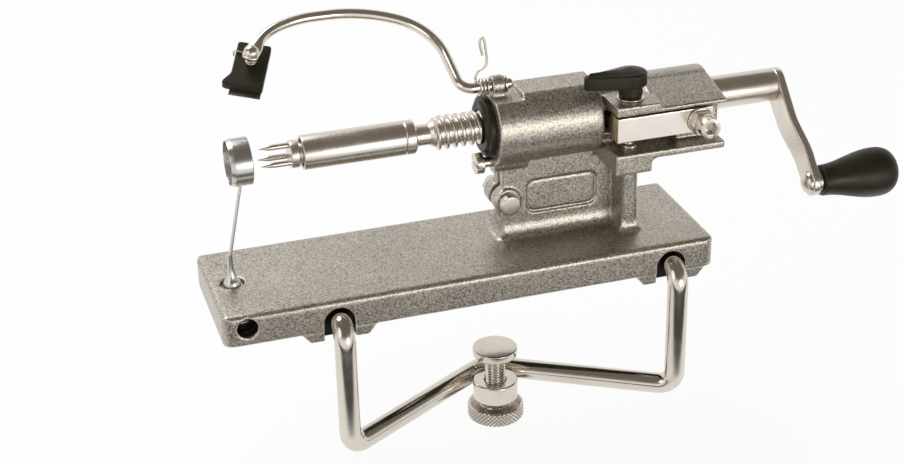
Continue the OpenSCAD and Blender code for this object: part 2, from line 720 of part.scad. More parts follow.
module drive_shaft() {
  color(steel_c) {
    xcyl(sleeve_x0 - 1.5, thread_x0 + 1, neck_d / 2, 0, axis_z);
    xcyl(thread_x0 - 1, thread_x1 + 1, core_d / 2, 0, axis_z);
    xcyl(thread_x1 + 0.1, crank_x, shaft_r, 0, axis_z);
  }
}

// Threaded sleeve: columns round the axis, rows along the helix, held between its two ends
module feed_screw() {
  n = 18;
  inner_r = core_d / 2 + 0.2;
  lead = thread_lead;
  turns = ceil(thread_l / lead) + 2;
  m = 4 * turns + 1;
  shift = tooth_x - lead / 2 - crest_w / 2 - lead * 0.25;
  first = shift - lead * ceil((shift - thread_x0) / lead + 1.5);
  fr = [0, crest_w / lead, (crest_w + flank_w) / lead, 1 - flank_w / lead];
  rr = [shaft_r, shaft_r, root_r, root_r];
  function raw(i, k) = first + lead * (floor(k / 4) - 1 + fr[k % 4] + i / n);
  function pt(i, k) = let (x = raw(i, k), inside = x > thread_x0 + 0.3 && x < thread_x1 - 0.3,
    r = inside ? rr[k % 4] : root_r, a = 360 * i / n + 90,
    end = x < (thread_x0 + thread_x1) / 2 ? thread_x0 : thread_x1)
    [inside ? x : end, r * cos(a), axis_z + r * sin(a)];
  mm = m + 4 * 3;
  pts = [for (i = [0:n - 1]) for (k = [0:mm - 1]) pt(i, k)];
  function id(i, k) = i < n ? i * mm + k : k + 4;
  inner = [for (i = [0:n - 1]) for (x = [thread_x0, thread_x1])
    [x, inner_r * cos(90 + 360 * i / n), axis_z + inner_r * sin(90 + 360 * i / n)]];
  q = len(pts);
  quads = [for (i = [0:n - 1]) for (k = [0:(i < n - 1 ? mm - 2 : mm - 6)])
    each [[id(i, k), id(i + 1, k + 1), id(i, k + 1)], [id(i, k), id(i + 1, k), id(i + 1, k + 1)]]];
  allp = concat(pts, inner);
  outer = [for (f = quads) if (norm(allp[f[0]] - allp[f[1]]) > 0.001 && norm(allp[f[1]] - allp[f[2]]) > 0.001
    && norm(allp[f[0]] - allp[f[2]]) > 0.001) f];
  ends = [for (i = [0:n - 1]) let (j = (i + 1) % n, a = i * mm, b = j * mm, c = i * mm + mm - 1,
    d = j * mm + mm - 1) each [[a, q + 2 * j, b], [a, q + 2 * i, q + 2 * j],
    [d, q + 2 * i + 1, c], [d, q + 2 * j + 1, q + 2 * i + 1],
    [q + 2 * i, q + 2 * j + 1, q + 2 * j], [q + 2 * i, q + 2 * i + 1, q + 2 * j + 1]]];
  color(steel_c) polyhedron(points = allp, faces = concat(outer, ends));
}

module apple_fork() {
  hub_x = sleeve_x0 - 1.5;
  color(steel_c) {
    xcyl(hub_x - fork_hub_t, hub_x, fork_hub_d / 2, 0, axis_z);
    for (a = [90, 210, 330]) translate([fork_x, prong_r * cos(a), axis_z + prong_r * sin(a)])
      rotate([0, 90, 0]) {
        cylinder(h = 5, r1 = 0.2, r2 = prong_d / 2);
        translate([0, 0, 5]) cylinder(h = hub_x - fork_x - 6, r = prong_d / 2);
      }
  }
}

// Crank strip in its own plane, pointing down, before it is turned to its angle
module crank_arm() {
  x1 = crank_x + crank_t;
  w0 = crank_w0 / 2;
  w1 = crank_w1 / 2;
  a = asin((w0 - w1) / crank_r);
  outline = concat(arc(0, 0, w0, a, 180 - a, 16), arc(0, -crank_r, w1, 180 - a, 360 + a, 16));
  z1 = crank_r * 0.45;
  z2 = crank_r * 0.68;
  profile = [[crank_x, w0 + 1], [x1, w0 + 1], [x1, -z1], [x1 + joggle, -z2],
    [x1 + joggle, -crank_r - w0], [crank_x + joggle, -crank_r - w0], [crank_x + joggle, -z2], [crank_x, -z1]];
  color(steel_c) turned() difference() {
    intersection() {
      xprism(outline, crank_x - 1, x1 + joggle + 1);
      yprism(profile, -w0 - 1, w0 + 1);
    }
    xcyl(crank_x - 1, x1 + 1, crank_bolt_d / 2 + press_c, 0, 0);
    xcyl(crank_x, x1 + joggle + 1, pin_d / 2 + press_c, 0, -crank_r);
  }
}

// Turns a part that hangs straight down from the spindle to the crank's angle
module turned() {
  translate([0, 0, axis_z]) rotate([crank_angle - 90, 0, 0]) children();
}

module crank_screw() {
  x1 = crank_x + crank_t;
  color(steel_c) turned() {
    difference() {
      xturn([[crank_x, 0], [crank_x, crank_bolt_d / 2], [x1, crank_bolt_d / 2], [x1, crank_head_d / 2],
        [x1 + crank_head_h * 0.5, crank_head_d / 2 - 0.3], [x1 + crank_head_h, crank_head_d / 2 - 2.2],
        [x1 + crank_head_h, 0]], 0, 0);
      box(x1 + crank_head_h * 0.4, -crank_head_d, -0.8, x1 + crank_head_h + 1, crank_head_d, 0.8);
    }
  }
}

// Pin with a domed head, through the crank strip and the grip
module handle_pin() {
  x0 = crank_x + joggle;
  x2 = crank_x + joggle + crank_t + 2 + grip_l;
  hr = rivet_d / 2;
  color(steel_c) turned() xturn(concat([[x0, 0]], [for (i = [0:6]) [x0 - 3 * cos(15 * i), hr * sin(15 * i)]],
    [[x0, pin_d / 2], [x2 - 9, pin_d / 2], [x2 - 9, 0]]), 0, -crank_r);
}

module handle_collar() {
  x1 = crank_x + joggle + crank_t;
  color(steel_c) turned() difference() {
    xcyl(x1, x1 + 1.8, grip_neck_d / 2 - 2, 0, -crank_r);
    xcyl(x1 - 1, x1 + 3, pin_d / 2 + press_c, 0, -crank_r);
  }
}

// Pear-shaped grip
module handle_grip() {
  x0 = crank_x + joggle + crank_t + 2;
  rn = grip_neck_d / 2;
  rm = grip_d / 2;
  swell = 0.72;
  prof = concat([for (i = [0:10]) let (t = i / 10) [x0 + grip_l * swell * t,
      rn + (rm - rn) * (1 - cos(180 * t)) / 2]],
    [for (i = [1:8]) let (t = sin(10 * i)) [x0 + grip_l * (swell + (1 - swell) * t),
      rm * pow(1 - pow(t, 2.6), 1 / 2.6)]],
    [[x0 + grip_l, 0], [x0, 0]]);
  color(black_c) turned() difference() {
    xturn(prof, 0, -crank_r);
    xcyl(x0 - 1, x0 + grip_l - 7, pin_d / 2 + run_c, 0, -crank_r);
  }
}

module ejector_sleeve() {
  color(steel_c) difference() {
    xcyl(sleeve_x0, seam_x, sleeve_d / 2, 0, axis_z);
    xcyl(sleeve_x0 - 1, seam_x + 1, sleeve_bore / 2, 0, axis_z);
  }
}

module ejector_ring() {
  r = sleeve_d / 2;
  x1 = seam_x + ring_l;
  color(steel_c) xturn([[seam_x, neck_d / 2 + run_c], [seam_x, r - 0.6], [seam_x + 0.6, r], [x1 - 1, r],
    [x1, r - 1], [x1, neck_d / 2 + run_c]], 0, axis_z);
}

// Outline of the lever: hub and tip joined by straight sides
module release_lever() {
  r0 = lever_hub_d / 2;
  r1 = lever_tip_d / 2;
  z0 = ceil_z + pad_t + 1 + lever_collar_h;
  a = asin((r0 - r1) / (lever_l - r1));
  outline = concat(arc(0, 0, r0, -90 - a, 90 + a, 20),
    arc(r1 - lever_l, 0, r1, 90 + a, 270 - a, 10));
  color(black_c) difference() {
    union() {
      translate([stem_x, stem_y, z0]) linear_extrude(height = lever_h) polygon(outline);
      zcyl(ceil_z + pad_t + 1, z0 + 1, 5.6, stem_x, stem_y);
    }
    zcyl(ceil_z, z0 + lever_h - 3, spigot_r + press_c, stem_x, stem_y);
  }
}

module lever_stem() {
  bar_low = floor_z + 1.2;
  color(steel_c) {
    zcyl(floor_z - 3.6, bar_low, stem_d / 2, stem_x, stem_y);
    zcyl(bar_low - eps, ceil_z, stem_d / 2 - stem_ecc, stem_x, stem_y + stem_ecc - 0.05);
    zcyl(ceil_z - eps, ceil_z + pad_t + 0.6, stem_d / 2, stem_x, stem_y);
    zcyl(ceil_z + pad_t, ceil_z + pad_t + lever_collar_h + lever_h - 2.4, spigot_r, stem_x, stem_y);
  }
}

module lever_washer() {
  z = ceil_z + pad_t;
  color(steel_c) difference() {
    zcyl(z + 0.1, z + 1, 6.4, stem_x, stem_y);
    zcyl(z - 1, z + 2, stem_d / 2 + press_c, stem_x, stem_y);
  }
}

// Bronze bar with the tooth that rides in the thread; the eccentric bears on its back
module nut_bar() {
  z0 = bar_z - bar_h / 2;
  z1 = bar_z + bar_h / 2;
  tooth_y = -root_r - 0.45;
  tooth = [[tooth_x - 0.45, tooth_y], [tooth_x - 0.62, tooth_y - 1.4], [tooth_x - 2.2, tooth_y - 2.6],
    [tooth_x - 2.2, bar_back - 1], [tooth_x + 2.2, bar_back - 1], [tooth_x + 2.2, tooth_y - 2.6],
    [tooth_x + 0.62, tooth_y - 1.4], [tooth_x + 0.45, tooth_y]];
  color(bronze_c) difference() {
    union() {
      box(bar_x0, bar_y1, z0, bar_x0 + bar_l, bar_back, z1);
      translate([0, 0, axis_z - 2.2]) linear_extrude(height = 4.4) polygon(tooth);
    }
    ycyl(bar_y1 - 1, bar_back + 1, adjust_d / 2 + 0.6, adjust_x, bar_z);
  }
}

module bar_plate() {
  color(steel_c) difference() {
    box(bar_x0, -block_front, bar_z - bar_h / 2, bar_x0 + bar_l, bar_y1, bar_z + bar_h / 2);
    ycyl(-block_front - 1, bar_y1 + 1, adjust_d / 2 + 0.6, adjust_x, bar_z);
  }
}

// Steps of the arm rod: straight length, bend radius, bend angle, number of points on the bend
arm_segs = [[tail_l, tail_bend, 86, 6], [arm_rise, shoulder_r, -57.6, 6], [0, crown_r, -28.4, 4],
  [arm_run, drop_r, -20, 3], [0, neck_r, -36, 5]];
arm_end = adv(arm_segs, 0, tail_x, 0, 0);

// Points along the arm rod in the plane of the arm
function bends(segs, i, x, z, h) = i >= len(segs) ? [] :
  let (s = segs[i], k = sign(s[2]), x1 = x - s[0] * cos(h), z1 = z + s[0] * sin(h),
    e = adv([s], 0, x, z, h))
  concat(s[0] > 0 ? [[x1, 0, z1]] : [],
    [for (j = [1:s[3]]) let (a = h + s[2] * j / s[3])
      [x1 - s[1] * k * (sin(a) - sin(h)), 0, z1 + s[1] * k * (cos(h) - cos(a))]],
    bends(segs, i + 1, e[0], e[1], e[2]));
eye_x = arm_end[0] - eye_reach * cos(arm_end[2]);
eye_s = arm_end[1] + eye_reach * sin(arm_end[2]);
eye_t = rod_r;
pivot_r = pivot_d / 2;
rod_x0 = tail_x - tail_l - 1;
holder_y = rod_r + 2.9;
screw_xs = [-holder_w * 0.29, holder_w * 0.29];
screw_dz = 4;
blade_screw_r = 1.2;

// Plane of the arm: X along the spindle, Z away from the tail, -Y towards the front
module in_arm() {
  translate([0, 0, tail_z]) rotate([-arm_lean, 0, 0]) children();
}

// Frame of the knife head at its pivot
module in_head() {
  in_arm() translate([eye_x, 0, eye_s]) rotate([0, head_tilt, 0]) children();
}

module peel_arm_rod() {
  color(steel_c) in_arm() difference() {
    union() {
      xcyl(rod_x0, tail_x, rod_r, 0, 0);
      wire(concat([[rod_x0 + 3, 0, 0]], bends(arm_segs, 0, tail_x, 0, 0),
        [[eye_x + eye_reach * 0.4 * cos(arm_end[2]), 0, eye_s - eye_reach * 0.4 * sin(arm_end[2])]]),
        rod_d - 0.1, 10, [0, 1, 0]);
      translate([eye_x, 0, eye_s]) ycyl(-eye_t, eye_t, eye_d / 2, 0, 0);
    }
    translate([eye_x, 0, eye_s]) ycyl(-eye_t - 2, eye_t + 2, pivot_r + press_c, 0, 0);
  }
}

module arm_snap_ring() {
  x = lug_x + lug_l + 0.3;
  color(steel_c) in_arm() difference() {
    xcyl(x, x + 1.2, rod_r + 1.5, 0, 0);
    xcyl(x - 1, x + 2, rod_r + press_c, 0, 0);
  }
}

module head_pivot_screw() {
  y1 = holder_y + holder_t;
  color(steel_c) in_arm() translate([eye_x, 0, eye_s]) {
    ycyl(-eye_t - 2.4, -eye_t, eye_d / 2 - 0.2, 0, 0);
    ycyl(-eye_t - 0.5, y1 + 1.9, pivot_r, 0, 0);
    ycyl(y1 + 0.3, y1 + 1.7, pivot_d, 0, 0);
  }
}

// Small torsion spring between the eye and the holder, hooked over the holder's left edge
head_wire_d = 0.8;
head_pitch = 1.25;
head_leg = holder_up - 2.9;
hook_z = holder_up * 0.42;
head_r = pivot_r + 0.35 + head_wire_d / 2;
head_y0 = rod_r + 0.45;
edge_x = -holder_w / 2 - 0.6 - head_wire_d / 2;
head_path = concat(
  [[head_r, head_y0, head_leg], [head_r, head_y0, head_leg * 0.6], [head_r, head_y0, head_r + 0.35]],
  [for (i = [0:12]) [head_r * cos(-45 * i), head_y0 + head_pitch * i / 8, head_r * sin(-45 * i)]],
  [[-head_r, head_y0 + head_pitch * 1.5, 2], [-head_r - 1.8, head_y0 + head_pitch * 1.5, hook_z - 0.6],
    [edge_x + 0.8, head_y0 + head_pitch * 1.5, hook_z],
    [edge_x, head_y0 + head_pitch * 1.5 + 0.8, hook_z], [edge_x, holder_y + holder_t * 0.8, hook_z]]);
echo(str("head_spring least gap ", self_gap(head_path, head_wire_d, 5)));

module head_spring() {
  color(steel_c) in_head() wire(head_path, head_wire_d, 6, [0, 1, 0]);
}

module knife_holder() {
  w = holder_w / 2;
  d = holder_down;
  outline = concat(arc(w - 2, holder_up - 2, 2, 0, 90, 4), arc(2 - w, holder_up - 2, 2, 90, 180, 4),
    [[-w, -d * 0.52], [-w - holder_flare, -d + 1.5], [-w - holder_flare + 1.5, -d], [w, -d]]);
  color(black_c) in_head() difference() {
    yprism(outline, holder_y, holder_y + holder_t);
    ycyl(holder_y - 1, holder_y + holder_t + 1, pivot_r + run_c, 0, 0);
    for (x = screw_xs) ycyl(holder_y + 1, holder_y + holder_t + 1, blade_screw_r + press_c, x, screw_dz - d);
  }
}

// Blade on the back of the holder with its cutting edge along the bottom
module peel_blade() {
  w = holder_w / 2 - 0.5;
  y0 = holder_y + holder_t;
  d = holder_down;
  color(steel_c) in_head() difference() {
    xprism([[y0, -d + 7], [y0 + blade_t, -d + 7], [y0 + blade_t, -d - blade_out + 1.6],
      [y0 + 0.1, -d - blade_out], [y0, -d - blade_out]], -w, w);
    for (x = screw_xs) ycyl(y0 - 1, y0 + blade_t + 1, blade_screw_r + press_c, x, screw_dz - d);
  }
}

module blade_screws() {
  y0 = holder_y + holder_t + blade_t;
  color(steel_c) in_head() for (x = screw_xs) {
    ycyl(holder_y + 1.4, y0 + 0.5, blade_screw_r, x, screw_dz - holder_down);
    ycyl(y0, y0 + 1.4, blade_screw_r + 0.9, x, screw_dz - holder_down);
  }
}

// Bow: two straight ends in the base, legs down in front of it, arms back to an apex, welded boss
boss_y = leg_y + (bow_half * tan(bow_v)) - boss_d / 2 - 6.9;
boss_z0 = -bow_drop - boss_h / 2 - 2.5;
bow_arm = (bow_half - apex_bend * sin(bow_v)) / cos(bow_v);
apex_y = leg_y + bow_arm * sin(bow_v) + apex_bend * (1 - cos(bow_v));
bow_left = concat([[bow_x - bow_half, front_y + 4, bow_z]],
  [for (i = [0:5]) let (a = 18 * i)
    [bow_x - bow_half, leg_y + bow_bend * (1 - sin(a)), bow_z - bow_bend * (1 - cos(a))]],
  [for (i = [0:5]) let (a = 18 * i, u = bow_bend * (1 - cos(a)))
    [bow_x - bow_half + u * cos(bow_v), leg_y + u * sin(bow_v), bow_bend * (1 - sin(a)) - bow_drop]],
  [for (i = [0:4]) let (a = bow_v * (1 - i / 4))
    [bow_x - apex_bend * sin(a), apex_y - apex_bend * (1 - cos(a)), -bow_drop]]);
bow_path = concat(bow_left,
  [for (i = [len(bow_left) - 2:-1:0]) [2 * bow_x - bow_left[i][0], bow_left[i][1], bow_left[i][2]]]);

module clamp_bow() {
  y_end = front_y + wall_t + socket_len - 2;
  color(steel_c) difference() {
    union() {
      for (s = [-1, 1]) ycyl(front_y + 0.4, y_end, bow_r, bow_x + s * bow_half, bow_z);
      wire(bow_path, bow_d - 0.1, 12, [1, 0, 0]);
      zcyl(boss_z0, boss_z0 + boss_h, boss_d / 2, bow_x, boss_y);
    }
    zcyl(boss_z0 - 1, boss_z0 + boss_h + 1, screw_d / 2 + run_c, bow_x, boss_y);
  }
}

module clamp_pad() {
  z1 = -table_t;
  color(steel_c) difference() {
    zcyl(z1 - clamp_pad_t, z1, pad_d / 2, bow_x, boss_y);
    zcyl(z1 - clamp_pad_t - 1, z1 - 1.6, screw_d * 0.32 + run_c, bow_x, boss_y);
  }
}

module clamp_screw() {
  z1 = -table_t - clamp_pad_t - 0.3;
  knob_top = boss_z0 - 3;
  color(steel_c) {
    zcyl(knob_top - knob_h + 1, z1, screw_d / 2, bow_x, boss_y);
    zcyl(z1 - 1, -table_t - 2, screw_d * 0.32, bow_x, boss_y);
  }
}

module clamp_knob() {
  z1 = boss_z0 - 3;
  r = knob_d / 2;
  color(steel_c) difference() {
    zcyl(z1 - knob_h, z1, r, bow_x, boss_y);
    zcyl(z1 - knob_h + 1 - press_c, z1 + 1, screw_d / 2 + press_c, bow_x, boss_y);
    for (i = [1:knob_grooves]) translate([bow_x, boss_y, 0]) rotate([0, 0, 360 * i / knob_grooves])
      zcyl(z1 - knob_h - 1, z1 + 1, 1, r + 0.2, 0);
  }
}

casting();
front_bush();
bush_screw();
bush_clamp_bolt();
bush_clamp_nut();
slicing_knife();
knife_set_screw();
adjust_screw();
adjust_nut();
adjust_washer();
arm_spring();
rear_bush();
drive_shaft();
feed_screw();
apple_fork();
crank_arm();
crank_screw();
handle_pin();
handle_collar();
handle_grip();
ejector_sleeve();
ejector_ring();
release_lever();
lever_stem();
lever_washer();
nut_bar();
bar_plate();
peel_arm_rod();
arm_snap_ring();
head_pivot_screw();
head_spring();
knife_holder();
peel_blade();
blade_screws();
clamp_bow();
clamp_pad();
clamp_screw();
clamp_knob();
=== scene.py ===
"""Finished surfaces of a hand-cranked apple peeler, built on its packed solids."""

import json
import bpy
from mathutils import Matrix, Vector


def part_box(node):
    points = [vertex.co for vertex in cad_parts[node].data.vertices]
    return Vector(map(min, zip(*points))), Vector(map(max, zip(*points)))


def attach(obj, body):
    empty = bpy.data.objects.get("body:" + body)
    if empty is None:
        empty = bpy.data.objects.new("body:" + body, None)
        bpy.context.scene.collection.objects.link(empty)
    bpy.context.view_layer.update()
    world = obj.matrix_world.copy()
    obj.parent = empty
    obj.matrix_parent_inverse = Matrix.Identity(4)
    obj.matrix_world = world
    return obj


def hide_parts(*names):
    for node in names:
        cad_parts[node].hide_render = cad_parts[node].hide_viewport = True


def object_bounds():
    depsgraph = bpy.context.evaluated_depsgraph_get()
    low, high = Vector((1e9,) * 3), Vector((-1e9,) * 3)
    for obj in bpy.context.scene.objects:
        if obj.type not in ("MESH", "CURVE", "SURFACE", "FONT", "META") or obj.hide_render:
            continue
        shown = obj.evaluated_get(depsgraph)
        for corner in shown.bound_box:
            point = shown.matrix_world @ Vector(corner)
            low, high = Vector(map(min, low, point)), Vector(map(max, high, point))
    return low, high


bl_info = {
    "name": "Hand-cranked apple peeler",
    "version": (1, 0, 0),
    "blender": (4, 5, 0),
    "location": "3D View > Sidebar > Peeler",
    "description": "Builds a table-clamped apple peeler: casting, spindle, crank, arm and clamp",
    "category": "Object",
}

import bmesh
import bpy
import numpy as np
from bpy.props import FloatProperty, FloatVectorProperty, IntProperty, PointerProperty
from mathutils import Matrix, Vector

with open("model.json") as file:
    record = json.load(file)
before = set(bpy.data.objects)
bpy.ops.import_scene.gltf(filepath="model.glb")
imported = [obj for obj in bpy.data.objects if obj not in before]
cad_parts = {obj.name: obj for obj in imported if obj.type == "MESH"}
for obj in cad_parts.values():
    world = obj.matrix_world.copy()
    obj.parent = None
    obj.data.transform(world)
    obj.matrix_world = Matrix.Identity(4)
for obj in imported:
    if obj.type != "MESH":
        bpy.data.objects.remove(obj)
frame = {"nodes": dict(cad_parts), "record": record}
CAD_BOX = [list(corner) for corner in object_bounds()]
MM = 0.001
TURN = 2 * np.pi

# Places that several pieces share, in millimetres as are all sizes in the operators
SPINDLE_Z = 80.0
BASE_TOP = 20.0
KNIFE_X = -108.8
BOW_MIDDLE, BOW_HALF = 15.5, 82.0


def span(node):
    """Lowest and highest corner of a node in millimetres."""
    low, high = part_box(node)
    return np.array(low) / MM, np.array(high) / MM


def axle(node, axis):
    """Both ends of a turned node along its axis, its radius, and the point of its axis at zero."""
    low, high = span(node)
    along, across = "xyz".index(axis), 0 if axis == "z" else 2
    centre = (low + high) / 2
    centre[along] = 0
    return low[along], high[along], (high - low)[across] / 2, centre


# Sizes and colours


def number(name, description, default, **kind):
    """A number above zero."""
    return FloatProperty(name=name, description=description, default=default, min=0, **kind)


def length(name, description, default):
    """A size in metres, given in millimetres."""
    return number(name, description, default * MM, unit="LENGTH", precision=5)


def angle(name, description, default):
    """An angle, given in degrees."""
    return FloatProperty(
        name=name, description=description, default=np.radians(default), subtype="ANGLE"
    )


def tint(name, description, default):
    """A colour in linear light."""
    return FloatVectorProperty(
        name=name, description=description, default=default, size=3, min=0, max=1, subtype="COLOR"
    )


class CastSettings(bpy.types.PropertyGroup):
    """The lacquered casting"""

    voxel: length("Skin step", "Step of the skin that is drawn over the casting", 0.52)
    cove: length("Cove", "How far the cove at the column's foot stands out", 4.6)
    rise: length("Cove's height", "Height of the cove at the column's foot", 8.0)
    grain: length("Lacquer grain", "Size of the grain in the hammered lacquer", 0.45)
    light: tint("Lacquer, light", "Raised part of the hammered lacquer", (0.66, 0.60, 0.515))
    dark: tint("Lacquer, dark", "Sunken part of the hammered lacquer", (0.19, 0.169, 0.138))
    # painted shade: near-black colour for the inside of the base, its arches and the set screw's
    # hole
    hollow_shade: tint("Hollow shade", "Unlacquered inside of the base", (0.022, 0.021, 0.019))


class SpindleSettings(bpy.types.PropertyGroup):
    """The spindle with its feed thread, fork and sleeve"""

    lead: length("Lead", "Travel of the feed thread in one turn", 4.0)
    crest: length("Crest", "Width of the thread's crest", 1.3)
    flank: length("Flank", "Width of the thread's flank along the axis", 0.6)
    depth: length("Depth", "Depth of the thread", 1.75)
    tooth: length("Tooth", "Place of the bar's tooth along the spindle", 73.2)
    ease: length("Eased edge", "Radius of the turned edges", 0.6)


class CrankSettings(bpy.types.PropertyGroup):
    """The crank with its grip"""

    radius: length("Radius", "Distance from the shaft to the grip", 52.5)
    drop: angle("Angle", "Angle of the crank below the front horizontal", 45.0)
    hub: length("Width at the shaft", "Width of the strip at the shaft", 16.0)
    tip: length("Width at the grip", "Width of the strip at the grip", 13.5)
    strip: length("Strip", "Thickness of the strip", 4.0)
    step: length("Step", "Outward step of the strip", 3.0)
    grip: length("Grip", "Largest diameter of the grip", 24.0)
    neck: length("Grip's neck", "Diameter of the grip at the crank", 15.0)


class ArmSettings(bpy.types.PropertyGroup):
    """The peel arm with its knife head and springs"""

    rod: length("Rod", "Diameter of the arm's rod", 5.0)
    lean: angle("Lean", "Lean of the arm to the back", 62.0)
    tilt: angle("Tilt", "Turn of the knife head in the arm's plane", 22.0)
    tail: length("Tail", "Height of the arm's tail above the base's underside", 99.7)
    end: length("Tail's end", "Place of the tail's end along the spindle", 29.5)
    wire: length("Arm spring", "Wire of the spring on the tail", 1.2)
    fine_wire: length("Head spring", "Wire of the spring at the knife head", 0.8)


class ReleaseSettings(bpy.types.PropertyGroup):
    """The release lever and the engaging bar"""

    hub: length("Hub", "Diameter of the lever's hub", 15.0)
    tip: length("Tip", "Diameter of the lever's tip", 5.0)
    reach: length("Reach", "Length from the lever's axis to its tip", 23.0)
    crown: length("Crown", "Rise of the lever's top above its edge", 1.3)


class ClampSettings(bpy.types.PropertyGroup):
    """The table clamp"""

    rod: length("Rod", "Diameter of the bow's rod", 10.0)
    pitch: length("Pitch", "Pitch of the clamp screw", 1.5)
    knurls: IntProperty(
        name="Knurls", description="Number of ridges round the knob", default=42, min=12, max=120
    )
    knurl: length("Knurl depth", "Depth of the ridges round the knob", 0.5)
    boss: length("Boss", "Diameter of the threaded boss", 22.0)


class FinishSettings(bpy.types.PropertyGroup):
    """Metals and plastics"""

    nickel: tint("Nickel", "Warm nickel plate of the spindle, crank and arm", (0.76, 0.695, 0.615))
    zinc: tint("Bow", "Plate of the bow and its screw", (0.72, 0.665, 0.585))
    steel: tint("Fasteners", "Plate of the screws, nuts and springs", (0.72, 0.655, 0.565))
    blade: tint("Blades", "Ground steel of the knives", (0.66, 0.64, 0.61))
    plate: tint("Bar's face", "Polished face of the engaging bar", (0.87, 0.805, 0.73))
    bronze: tint("Bronze", "Bronze of the bar and the rear bush", (0.55, 0.40, 0.22))
    black: tint("Plastic", "Black of the grip, lever, bush and holder", (0.014, 0.012, 0.0085))
    bloom: tint("Bloom", "Dusty bloom on the plastic", (0.06, 0.053, 0.04))
    sheen: tint("Sheen", "Tint of the plastic's gloss", (1.0, 0.89, 0.68))


class StageSettings(bpy.types.PropertyGroup):
    """Floor, light and camera"""

    floor: tint("Floor", "Colour of the floor", (0.93, 0.93, 0.925))
    key: number("Key lamp", "Power of the lamp above the back", 6.5, unit="POWER")
    front: number("Front lamp", "Power of the low lamp in front", 5.0, unit="POWER")
    fill: number("Fill lamp", "Power of the lamp at the left", 1.5, unit="POWER")
    sky: number("Sky", "Strength of the even light from all sides", 0.55)
    overhead: tint("Overhead", "What metal mirrors from above", (0.17, 0.152, 0.128))
    azimuth: angle("Azimuth", "Camera's angle round the object", -17.05)
    elevation: angle("Elevation", "Camera's angle above the floor", 26.62)
    roll: angle("Roll", "Turn of the camera about its view", -1.36)
    distance: length("Distance", "Distance from the camera to what it looks at", 947.1)
    lens: number("Lens", "Focal length in millimetres", 69.83)


GROUPS = {
    "cast": CastSettings,
    "spindle": SpindleSettings,
    "crank": CrankSettings,
    "arm": ArmSettings,
    "release": ReleaseSettings,
    "clamp": ClampSettings,
    "finish": FinishSettings,
    "stage": StageSettings,
}


def setting(group):
    """The settings of one group."""
    return getattr(bpy.context.scene, "peeler_" + group)


def sizes(group, *names):
    """Named lengths of a group in millimetres."""
    found = [getattr(setting(group), n) / MM for n in names]
    return found if len(found) > 1 else found[0]


# Surfaces as grids of points


def grid_faces(rows, cols, wrap, loop):
    """Quads between neighbours of a grid whose point (i, j) has the number i * cols + j."""
    i, j = np.meshgrid(np.arange(rows - (not loop)), np.arange(cols - (not wrap)), indexing="ij")
    a, b = (i + 1) % rows, (j + 1) % cols
    corners = [i * cols + j, i * cols + b, a * cols + b, a * cols + j]
    return np.stack(corners, -1).reshape(-1, 4).tolist()


def surface(points, wrap=True, loop=False, caps=True):
    """A grid of points as a mesh part. Unless the rows form a loop, one face closes each end."""
    rows, cols = points.shape[:2]
    faces = grid_faces(rows, cols, wrap, loop)
    if caps and not loop:
        faces += [list(range(cols)), list(range((rows - 1) * cols, rows * cols))]
    return points.reshape(-1, 3), faces


def around(axis, centre, along, radius, angles):
    """Points centre + along * axis + radius * (cos a, sin a) in the two directions across the
    axis."""
    w = np.eye(3)["xyz".index(axis)]
    u, v = np.roll(w, 1), np.roll(w, 2)
    x, y = radius * np.cos(angles), radius * np.sin(angles)
    return np.asarray(centre, float) + along[..., None] * w + x[..., None] * u + y[..., None] * v


def turned(profile, axis, centre, sides=96, loop=False, ease=0.0):
    """Turned part: every (along, radius) of a profile goes round the axis at equal angles. The
    profile's corners are eased first, if a radius is given for that."""
    p = eased(profile, ease, loop=loop) if ease else np.asarray(profile, float)
    a = np.linspace(0, TURN, sides, endpoint=False)
    return surface(around(axis, centre, p[:, :1], p[:, 1:], a), loop=loop)


def domed(base, height, radius, steps):
    """Profile of a domed head from its top to its rim: (base - height cos a, radius sin a)."""
    a = np.linspace(0, np.pi / 2, steps)
    return np.stack([base - height * np.cos(a), radius * np.sin(a)], -1)


def smooth_step(value, start, size):
    """0 up to the start and 1 from start + size on, with k^2 (3 - 2k) between them."""
    k = np.clip((value - start) / size, 0, 1)
    return k * k * (3 - 2 * k)


def eased(profile, radius, steps=5, loop=False):
    """Profile with rounded corners: between its two tangent points a and b a corner c becomes
    (1 - t)^2 a + 2t(1 - t) c + t^2 b."""
    p = np.asarray(profile, float)

    def towards(q):
        """Points on the way to other points, at the radius or at most nearly half way."""
        d = q - p
        size = np.linalg.norm(d, axis=1, keepdims=True)
        return p + d * np.minimum(radius, size * 0.45) / np.maximum(size, 1e-9)

    a, b = towards(np.roll(p, 1, 0)), towards(np.roll(p, -1, 0))
    t = np.linspace(0, 1, steps)[:, None]
    out = (1 - t) ** 2 * a[:, None] + 2 * t * (1 - t) * p[:, None] + t**2 * b[:, None]
    if loop:
        return out.reshape(-1, p.shape[1])
    return np.vstack([p[:1], out[1:-1].reshape(-1, p.shape[1]), p[-1:]])


def flowing(points, per=8):
    """Smooth path through points: the cubic whose slope at a point is half the step between its
    neighbours."""
    points = np.asarray(points, float)
    p = np.vstack([2 * points[0] - points[1], points, 2 * points[-1] - points[-2]])
    a, b, c, d = (p[i : len(p) - 3 + i][:, None] for i in range(4))
    t = np.linspace(0, 1, per, endpoint=False)[:, None]
    square, cube = 2 * a - 5 * b + 4 * c - d, 3 * b - a - 3 * c + d
    q = 0.5 * (2 * b + (c - a) * t + square * t**2 + cube * t**3)
    return np.vstack([q.reshape(-1, 3), points[-1:]])


